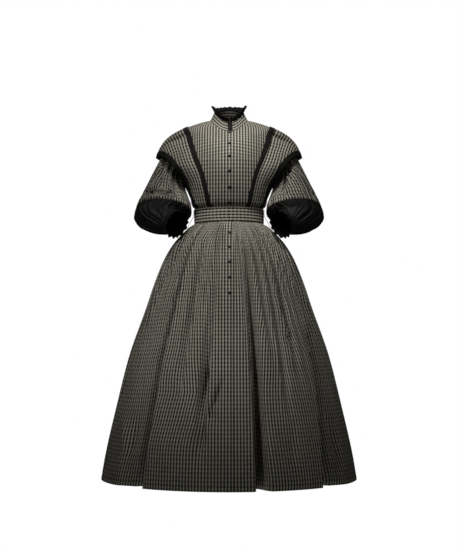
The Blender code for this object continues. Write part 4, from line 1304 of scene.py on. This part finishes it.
# %% Band creases
BAND_CREASES = {
    "left": [
        Crease(7.3, 30.0, 10.5, 40.0, 0.0045, 0.0117),
        Crease(8.2, 62.0, 11.7, 58.0, 0.0045, 0.0104),
        Crease(7.6, 88.0, 11.0, 84.0, 0.0041, 0.0117),
        Crease(8.6, 104.0, 11.8, 112.0, 0.0045, 0.0104),
        Crease(7.6, 132.0, 11.2, 140.0, 0.0037, 0.0117),
        Crease(8.4, 8.0, 11.6, 14.0, 0.0045, 0.0104),
        Crease(8.0, 340.0, 11.4, 332.0, 0.0045, 0.0117),
        Crease(7.5, 300.0, 11.0, 296.0, 0.0041, 0.0117),
        Crease(8.4, 262.0, 11.7, 268.0, 0.0045, 0.0104),
        Crease(7.8, 226.0, 11.2, 230.0, 0.0037, 0.0117),
    ],
    "right": [
        Crease(7.4, 22.0, 10.8, 34.0, 0.0045, 0.0117),
        Crease(8.0, 50.0, 11.6, 50.0, 0.0049, 0.0104),
        Crease(7.5, 76.0, 10.6, 72.0, 0.0041, 0.0117),
        Crease(8.8, 92.0, 11.8, 100.0, 0.0045, 0.0104),
        Crease(7.8, 122.0, 11.4, 128.0, 0.0037, 0.0117),
        Crease(8.2, 2.0, 11.4, 6.0, 0.0045, 0.0104),
        Crease(7.8, 334.0, 11.2, 326.0, 0.0045, 0.0117),
        Crease(8.3, 296.0, 11.6, 290.0, 0.0041, 0.0117),
        Crease(7.6, 256.0, 11.1, 262.0, 0.0045, 0.0104),
        Crease(8.2, 218.0, 11.6, 222.0, 0.0037, 0.0117),
    ],
}
print("creases on the bands", {name: len(table) for name, table in BAND_CREASES.items()})

# %% [markdown]
# A seam joins two gathered edges stitch for stitch, so at its top the band repeats the sleeve's gathers, and
# at its foot the few of the cuff. In between it has its own puckers, and the three surfaces are eased into
# one another.

# %% Bands
BAND_WIDTH = 0.60
BAND_ROWS, BAND_GATHERS, BAND_SHIFT = 60, 26, 0.8
CUFF_GATHERS, CUFF_SHIFT = 8, 0.0


def gathered_band(name):
    """The band's own puckers, eased into the sleeve's gathers at its top and into the plain cuff below."""
    part = (BAND_START, CUFF_START, BAND_ROWS, TUBE_COLUMNS)
    rows = np.linspace(BAND_START, CUFF_START, BAND_ROWS)[::-1, None, None]
    points = tube(*part, BAND_GATHERS, BAND_SHIFT, BAND_CREASES[name])
    sleeve = tube(*part, SLEEVE_GATHERS, SLEEVE_SHIFT[name])
    cuff = tube(*part, CUFF_GATHERS, CUFF_SHIFT)
    points = sleeve + (points - sleeve) * eased(BAND_START, BAND_START + 0.5, rows)
    return points + (cuff - points) * eased(CUFF_START - 0.9, CUFF_START - 0.1, rows)


for name, mirrored in SIDES:
    points = gathered_band(name)
    flat = tube_flat(points, BAND_WIDTH)
    piece = cloth_piece(
        f"sleeve_band_{name}", points, flat, band_cloth, slot="dark_ribbon", closed=True, mirrored=mirrored
    )

# %% [markdown]
# ## Cuffs
# The cuff is a plain narrow band that holds the gathers. It lies a fraction of a millimetre outside the
# sleeve band, and reaches back over its end, as a band does that is sewn on from outside.

# %% Cuffs
CUFF_REACH = 0.12
CUFF_OUT = 0.0006
for name, mirrored in SIDES:
    points = tube(CUFF_START - CUFF_REACH, FRILL_START, 8, 120, CUFF_GATHERS, CUFF_SHIFT)
    points = moved_out(points, CUFF_OUT, closed=True)
    flat = tube_flat(points, 0.28)
    piece = cloth_piece(
        f"cuff_{name}", points, flat, band_cloth, slot="dark_ribbon", closed=True, mirrored=mirrored
    )

# %% [markdown]
# ## Cuff frills
# The frill at the wrist is the collar's frill on a closed ring, so its waves must meet after one turn: every
# sine in it goes round a whole number of times. Each wrist has its own phase, so that the two don't match.

# %% Cuff frills
CUFF_FRILL_WAVES = 14


def cuff_frill(seed):
    """Foot at the cuff, free edge one row further, with waves round the wrist that grow towards it."""
    columns = CUFF_FRILL_WAVES * 18
    angles = np.linspace(0.0, 360.0, columns, endpoint=False)
    rows = np.linspace(FRILL_START - 0.10, FRILL_END, 9)
    rings = sleeve_points(rows, angles, CUFF_GATHERS, CUFF_SHIFT)
    away = unit(rings - rings.mean(axis=1, keepdims=True))
    t = np.linspace(0.0, 1.0, 9)[:, None, None]
    angle = np.radians(angles)
    phase = CUFF_FRILL_WAVES * angle + 0.8 * np.sin(3 * angle + seed) + 0.5 * np.sin(5 * angle + 2 * seed)
    wave = np.sin(phase) * (1 + 0.2 * np.sin(4 * angle + seed))
    return (rings + away * (0.0004 + 0.0030 * t) * wave[None, :, None])[::-1, ::-1]


for (name, mirrored), seed in zip(SIDES, (0.4, 1.7)):
    points = cuff_frill(seed)
    flat = grid_flat(points, closed=True)
    piece = cloth_piece(
        f"cuff_frill_{name}", points, flat, frill_cloth,
        thickness=RIBBON, slot="dark_ribbon", closed=True, mirrored=mirrored,
    )

# %% [markdown]
# ## The belt
# A straight band of the same cloth with the check running along it, turned in at both edges, so it rounds
# over a little there. A belt that is worn never lies quite flat: two slow sines round the waist tip its edges
# in and out by less than a millimetre.

# %% Belt
BELT_OUT = 0.0027
BELT_CLOTH = 0.0013
BELT_ROWS, BELT_COLUMNS = 22, 260


def belt_band():
    """Rings round the waist: the skirt's oval, moved out by a rounded section and a slow ripple."""
    ring = SKIRT[-2]
    angle = np.linspace(0.0, 2 * np.pi, BELT_COLUMNS, endpoint=False)
    depth = ring.half_width * np.where(np.cos(angle) >= 0, ring.front_share, ring.back_share)
    rows = np.linspace(BELT_BOTTOM, BELT_TOP, BELT_ROWS)
    up = np.linspace(-1.0, 1.0, BELT_ROWS)
    bulge = 0.0012 * (1 - np.abs(up) ** 6) - 0.0008
    ripple = 0.0007 * np.sin(3 * angle + 0.5) + 0.0005 * np.sin(8 * angle + 2.0)
    size = BELT_OUT + bulge[:, None] + ripple * (up[:, None] * 0.6)
    x = (ring.half_width + size) * np.sin(angle)
    y = -(depth + size) * np.cos(angle)
    return np.stack([x, y, rows[:, None] + 0.0006 * np.sin(2 * angle + 0.8)], axis=-1)


points = belt_band()
flat = grid_flat(points, closed=True, warp_round=True) + (0.001, 0.003)
piece = cloth_piece("belt", points, flat, check_cloth, thickness=BELT_CLOTH, closed=True)

# %% [markdown]
# ## Buttons
# Small black domes down the front. They are dull, not polished, so that they read as dark dots: a rough
# shader with hardly any mirroring, and a fine noise for a surface that has been handled.

# %% Button material
def button_material():
    """Dull black, a little lighter and darker from spot to spot."""
    material, tree, shader, place = blank_material("black_button", 0.55, specular=0.15)
    soft = ranged(tree, noise(tree, place, 400.0, 3.0), 0.3, 0.7, 0.8, 1.3)
    tree.links.new(scaled(tree, (0.006, 0.0055, 0.005), soft), shader.inputs["Base Color"])
    return material


black_button = button_material()
print(black_button.name, "with", len(black_button.node_tree.nodes), "nodes")

# %% [markdown]
# A button must sit square on the cloth, and the front leans forward over the chest and back to the neck.
# The way out at each button comes from the slope of the front there, between a point just below and a point
# just above. The plain buttons give the places.

# %% Places of the buttons
BUTTONS = range(1, 12)


def front_line():
    """Depth and height of the outer cloth along the button line, from the hem up to the neck."""
    skirt, _ = skirt_points(np.linspace(HEM, WAIST, 500, endpoint=False), 1.0, "gathered")
    bodice = ring_points(BODICE, np.linspace(WAIST, 0.0, 500), 1.0)
    return np.concatenate([skirt, bodice])[:, 1:].T


FRONT_DEPTH, FRONT_HEIGHT = front_line()


def button_place(node):
    """Foot of a button on the cloth, and the ways across it, up it and out of it. The way out is square to
    the front, from its depth a little below the button and a little above."""
    low, high = (np.array(corner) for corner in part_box(node))
    x, _, z = (low + high) / 2
    below, here, above = np.interp([z - 0.003, z, z + 0.003], FRONT_HEIGHT, FRONT_DEPTH)
    axis = unit(np.array([0.0, -0.006, above - below]))
    side = np.array([1.0, 0.0, 0.0])
    return np.array([x, here, z]), side, np.cross(axis, side), axis


leans = [button_place(f"button_{number:02d}")[3][2] for number in BUTTONS]
print("rise of the way out at each button", np.round(leans, 2).tolist())

# %% [markdown]
# Turned work, such as a button, is a profile carried round an axis. The profile is a short table of radius
# and rise: a dome, a groove, and a thin rim. Its foot sinks a little into the cloth, so that no gap shows.

# %% Buttons
BODY_ROUND = 0.15
BUTTON_HALF_WIDTH = 0.00627
BUTTON_HEIGHT = 0.0038
BUTTON_SEAT = 0.0003
Turned = namedtuple("Turned", "across rise")
DOME = [
    Turned(0.001, 1.0), Turned(0.30, 0.97), Turned(0.55, 0.86), Turned(0.74, 0.66), Turned(0.84, 0.45),
    Turned(0.88, 0.38), Turned(0.95, 0.40), Turned(1.00, 0.30), Turned(0.99, 0.12), Turned(0.90, 0.0),
]


def turned_grid(profile, place, half_width, half_height, rise, lift, shift=0.0):
    """A profile carried round an oval: out by `across`, and up from the cloth by `rise`. A shift moves it
    sideways, and the bend takes it back onto the round of the body: shift squared over twice the radius."""
    middle, side, up, axis = place
    angle = np.linspace(0.0, 2 * np.pi, 28, endpoint=False)[None, :]
    out = column(profile, "across")[::-1, None]
    over = shift + out * np.cos(angle) * half_width
    above = column(profile, "rise")[::-1, None] * rise + lift - over**2 / (2 * BODY_ROUND)
    tall = out * np.sin(angle) * half_height
    return middle + over[..., None] * side + tall[..., None] * up + above[..., None] * axis


def turned_piece(name, points, material, replaces):
    """A piece from rings that close on themselves."""
    mesh = grid_mesh(name, points, grid_flat(points, closed=True), closed=True)
    return show(name, mesh, material, replaces)


for number in BUTTONS:
    place = button_place(f"button_{number:02d}")
    points = turned_grid(DOME, place, BUTTON_HALF_WIDTH, BUTTON_HALF_WIDTH, BUTTON_HEIGHT, -BUTTON_SEAT)
    turned_piece(f"button_{number:02d}_dome", points, black_button, (f"button_{number:02d}",))
print(len(BUTTONS), "buttons", round(BUTTON_HALF_WIDTH * 2000, 1), "mm wide")

# %% [markdown]
# A worked buttonhole lies across the front. It starts under the button and runs on behind it, away from the
# edge, because the button pulls to the end of its hole. Its stitches make a raised rim round the slit, so its
# profile is low in the middle and high near the rim.

# %% Buttonholes
HOLE_HALF_LENGTH, HOLE_HALF_HEIGHT = 0.0085, 0.0019
HOLE_RISE = 0.0009
HOLE_SINK = 0.0001
HOLE_SHIFT = -0.0045
thread = black_material("black_thread", (0.008, 0.0075, 0.007), 0.65, 0.0, 0.0002)
HOLE = [
    Turned(0.01, 0.10), Turned(0.25, 0.15), Turned(0.45, 0.60),
    Turned(0.65, 1.00), Turned(0.85, 0.80), Turned(1.0, 0.0),
]
for number in BUTTONS:
    place = button_place(f"button_{number:02d}")
    size = (HOLE_HALF_LENGTH, HOLE_HALF_HEIGHT, HOLE_RISE)
    points = turned_grid(HOLE, place, *size, -HOLE_SINK, HOLE_SHIFT)
    turned_piece(f"buttonhole_{number:02d}", points, thread, ())
print(len(BUTTONS), "buttonholes", round(HOLE_HALF_LENGTH * 2000), "mm long")

# %% [markdown]
# ## Thread loops
# A slack loop of thread at each side seam keeps the belt in place. It starts from the bodice's side seam,
# passes over the belt and ends in the skirt's side seam, so both of its ends are held.

# %% Route of a thread loop
LoopPoint = namedtuple("LoopPoint", "out height")
LOOP_SIZE = 0.0009
LOOP_FOOT = -0.4093


def loop_route():
    """From the bodice's side seam, out past the belt, to the skirt's side seam."""
    seat = SEAM_GAP + LOOP_SIZE
    belt_face = SKIRT[-2].half_width + BELT_OUT + seat
    foot, _ = skirt_points(LOOP_FOOT, 90.0)
    return [
        LoopPoint(BODICE[1].half_width + 1.3 * seat, BODICE[1].side),
        LoopPoint(belt_face, BELT_TOP + 0.0005),
        LoopPoint(belt_face + 0.0005, -0.355),
        LoopPoint(0.1370, -0.370),
        LoopPoint(0.1455, -0.384),
        LoopPoint(0.1510, -0.396),
        LoopPoint(float(foot[0]) + 1.5 * seat, LOOP_FOOT),
    ]


print("the loop passes", len(loop_route()), "points")

# %% [markdown]
# The carriers are worked in buttonhole stitch over a few long threads. The finished cord has lobes that run
# round it like a rope's, so its section is a circle whose radius rises and falls three times, turned a
# little further at each step along the route.

# %% Thread loops
LOOP_PITCH = 0.0042


def thread_loop():
    """Rings round a smooth curve through the route, with lobes that wind along it and rounded ends."""
    route = loop_route()
    keys = np.arange(len(route), dtype=float)
    at = np.linspace(0.0, keys[-1], 130)
    out, height = (smooth(keys, column(route, name), at) for name in LoopPoint._fields)
    path = np.stack([out, 0 * at, height], axis=-1)
    travelled = length_along(path, 0)
    ahead = unit(np.gradient(path, axis=0))
    side = np.array([0.0, 1.0, 0.0])
    up = np.cross(ahead, side)
    angle = np.linspace(0.0, 2 * np.pi, 18, endpoint=False)
    twist = angle[None, :] - 2 * np.pi * travelled[:, None] / LOOP_PITCH
    lobes = 0.80 + 0.20 * np.abs(np.cos(1.5 * twist))
    ends = np.minimum(travelled, travelled[-1] - travelled)[:, None]
    rounding = np.sqrt(np.clip(1 - (1 - np.clip(ends / LOOP_SIZE, 0, 1)) ** 2, 0.0004, 1))
    radius = LOOP_SIZE * lobes * rounding
    ring = np.cos(angle)[None, :, None] * side + np.sin(angle)[None, :, None] * up[:, None, :]
    return path[:, None, :] + radius[..., None] * ring, travelled[-1]


points, loop_length = thread_loop()
flat = grid_flat(points, closed=True)
for name, mirrored in SIDES:
    mesh = grid_mesh(f"belt_loop_{name}_thread", points, flat, closed=True, mirrored=mirrored)
    show(f"belt_loop_{name}_thread", mesh, thread, (f"belt_loop_{name}",))
print("two thread loops of", round(loop_length * 1000), "mm")

# %% [markdown]
# ## The floor
# The studio is white all round, with pale paper below the dress. The sheet's edges curve down out of sight,
# so it ends without a line, and it glows a little, as on a light table, so that no grey shows below the hem.

# %% Floor
FLOOR_HALF = 0.62
FLOOR_HEIGHT = -1.75
FLOOR_DROP = 0.05


def floor_grid():
    """A square floor below the hem, its edges curving down out of sight: height falls with the fourth power
    of the distance from the middle."""
    across = np.linspace(-1.0, 1.0, 25)
    x, y = np.meshgrid(across, across)
    drop = FLOOR_DROP * (x**4 + y**4)
    return np.stack([x * FLOOR_HALF, y * FLOOR_HALF, FLOOR_HEIGHT - drop], axis=-1)


def floor_material():
    """White paper, lit evenly from below as on a light table."""
    material, tree, shader, place = blank_material("white_floor", 0.9, specular=0.1)
    soft = mixed(tree, noise(tree, place, 0.6, 2.0), (0.82, 0.82, 0.82, 1.0), (0.80, 0.80, 0.80, 1.0))
    tree.links.new(soft, shader.inputs["Base Color"])
    tree.links.new(soft, shader.inputs["Emission Color"])
    shader.inputs["Emission Strength"].default_value = 1.16
    return material


points = floor_grid()
mesh = grid_mesh("floor", points, grid_flat(points))
mesh.materials.append(floor_material())
floor = bpy.data.objects.new("floor", mesh)
bpy.context.scene.collection.objects.link(floor)
print("floor", [round(size, 2) for size in floor.dimensions])

# %% [markdown]
# ## Light
# One lamp above the front lights the bodice and the shoulders. Two more, further off, light the skirt from
# the left and the right of the picture. The left one is twice as strong, which gives the folds a darker side.
# Louvres narrow each lamp's spread, so that the hem falls off into the dark. One lamp lights the back.

# %% Light
def area_light(name, place, aim, width, height, power, spread):
    """A rectangular soft light that faces a point; `spread` is the angle its grid of louvres lets out."""
    data = bpy.data.lights.new(name, "AREA")
    data.shape = "RECTANGLE"
    data.size, data.size_y = width, height
    data.energy = power
    data.spread = math.radians(spread)
    lamp = bpy.data.objects.new(name, data)
    lamp.location = place
    lamp.rotation_euler = (Vector(aim) - Vector(place)).to_track_quat("-Z", "Y").to_euler()
    bpy.context.scene.collection.objects.link(lamp)
    return lamp


lamps = [
    area_light("key_above", (-0.12, -1.05, 1.40), (0.01, -0.12, -0.05), 0.40, 0.40, 1.16, 18.0),
    area_light("fill_left", (-2.2, -2.9, 0.9), (0.03, -0.1, -0.81), 0.6, 0.6, 1.32, 19.5),
    area_light("fill_right", (2.2, -2.9, 0.9), (-0.05, -0.1, -0.81), 0.6, 0.6, 0.64, 19.5),
    area_light("fill_back", (0.0, 3.6, 0.9), (0.0, 0.1, -0.62), 0.8, 0.8, 3.6, 32.0),
]
print({lamp.name: round(lamp.data.energy, 2) for lamp in lamps}, "watts")

# %% [markdown]
# ## The surround
# White paper on every side would throw light into each fold and wash the dark cloth out, so the surround
# shows white to the lens but sends only a little light to the dress. That is what a photographer does by
# hanging the paper far away.

# %% White surround
SHOWN, SENT = 1.0, 0.06
world = bpy.context.scene.world or bpy.data.worlds.new("studio")
bpy.context.scene.world = world
world.use_nodes = True
sky = world.node_tree
seen = sky.nodes.new("ShaderNodeLightPath").outputs["Is Camera Ray"]
sky.nodes["Background"].inputs["Color"].default_value = (1.0, 1.0, 1.0, 1.0)
plug(sky, sky.nodes["Background"], "Strength", maths(sky, "MULTIPLY_ADD", seen, SHOWN - SENT, SENT))
bpy.context.scene.view_settings.view_transform = "Standard"
print("surround shows", SHOWN, "and sends", SENT)

# %% [markdown]
# ## The camera
# The picture is taken from a few metres away, level with the middle of the skirt. The size of one pixel at
# the dress gives the focal length: the camera's distance over the size of the whole picture there, times the
# size of the sensor. A slight tilt upwards puts the lens's own level at a row below the picture's middle.

# %% Camera
PIXEL = 0.0037
CAMERA_DISTANCE = 4.2
CAMERA_HEIGHT = -0.855
IMAGE_WIDTH, IMAGE_HEIGHT = 460, 552
EYE_ROW = 350.0
lens = bpy.data.cameras.new("camera")
lens.sensor_width = 36.0
lens.lens = CAMERA_DISTANCE / PIXEL / IMAGE_HEIGHT * lens.sensor_width
camera = bpy.data.objects.new("camera", lens)
camera.location = (PIXEL, -CAMERA_DISTANCE, CAMERA_HEIGHT)
tilt = math.atan((EYE_ROW - IMAGE_HEIGHT / 2) * PIXEL / CAMERA_DISTANCE)
camera.rotation_euler = (math.radians(90.0) + tilt, 0.0, 0.0)
bpy.context.scene.collection.objects.link(camera)
bpy.context.scene.camera = camera
print("lens", round(lens.lens, 1), "mm, tilted", round(math.degrees(tilt), 2), "degrees")
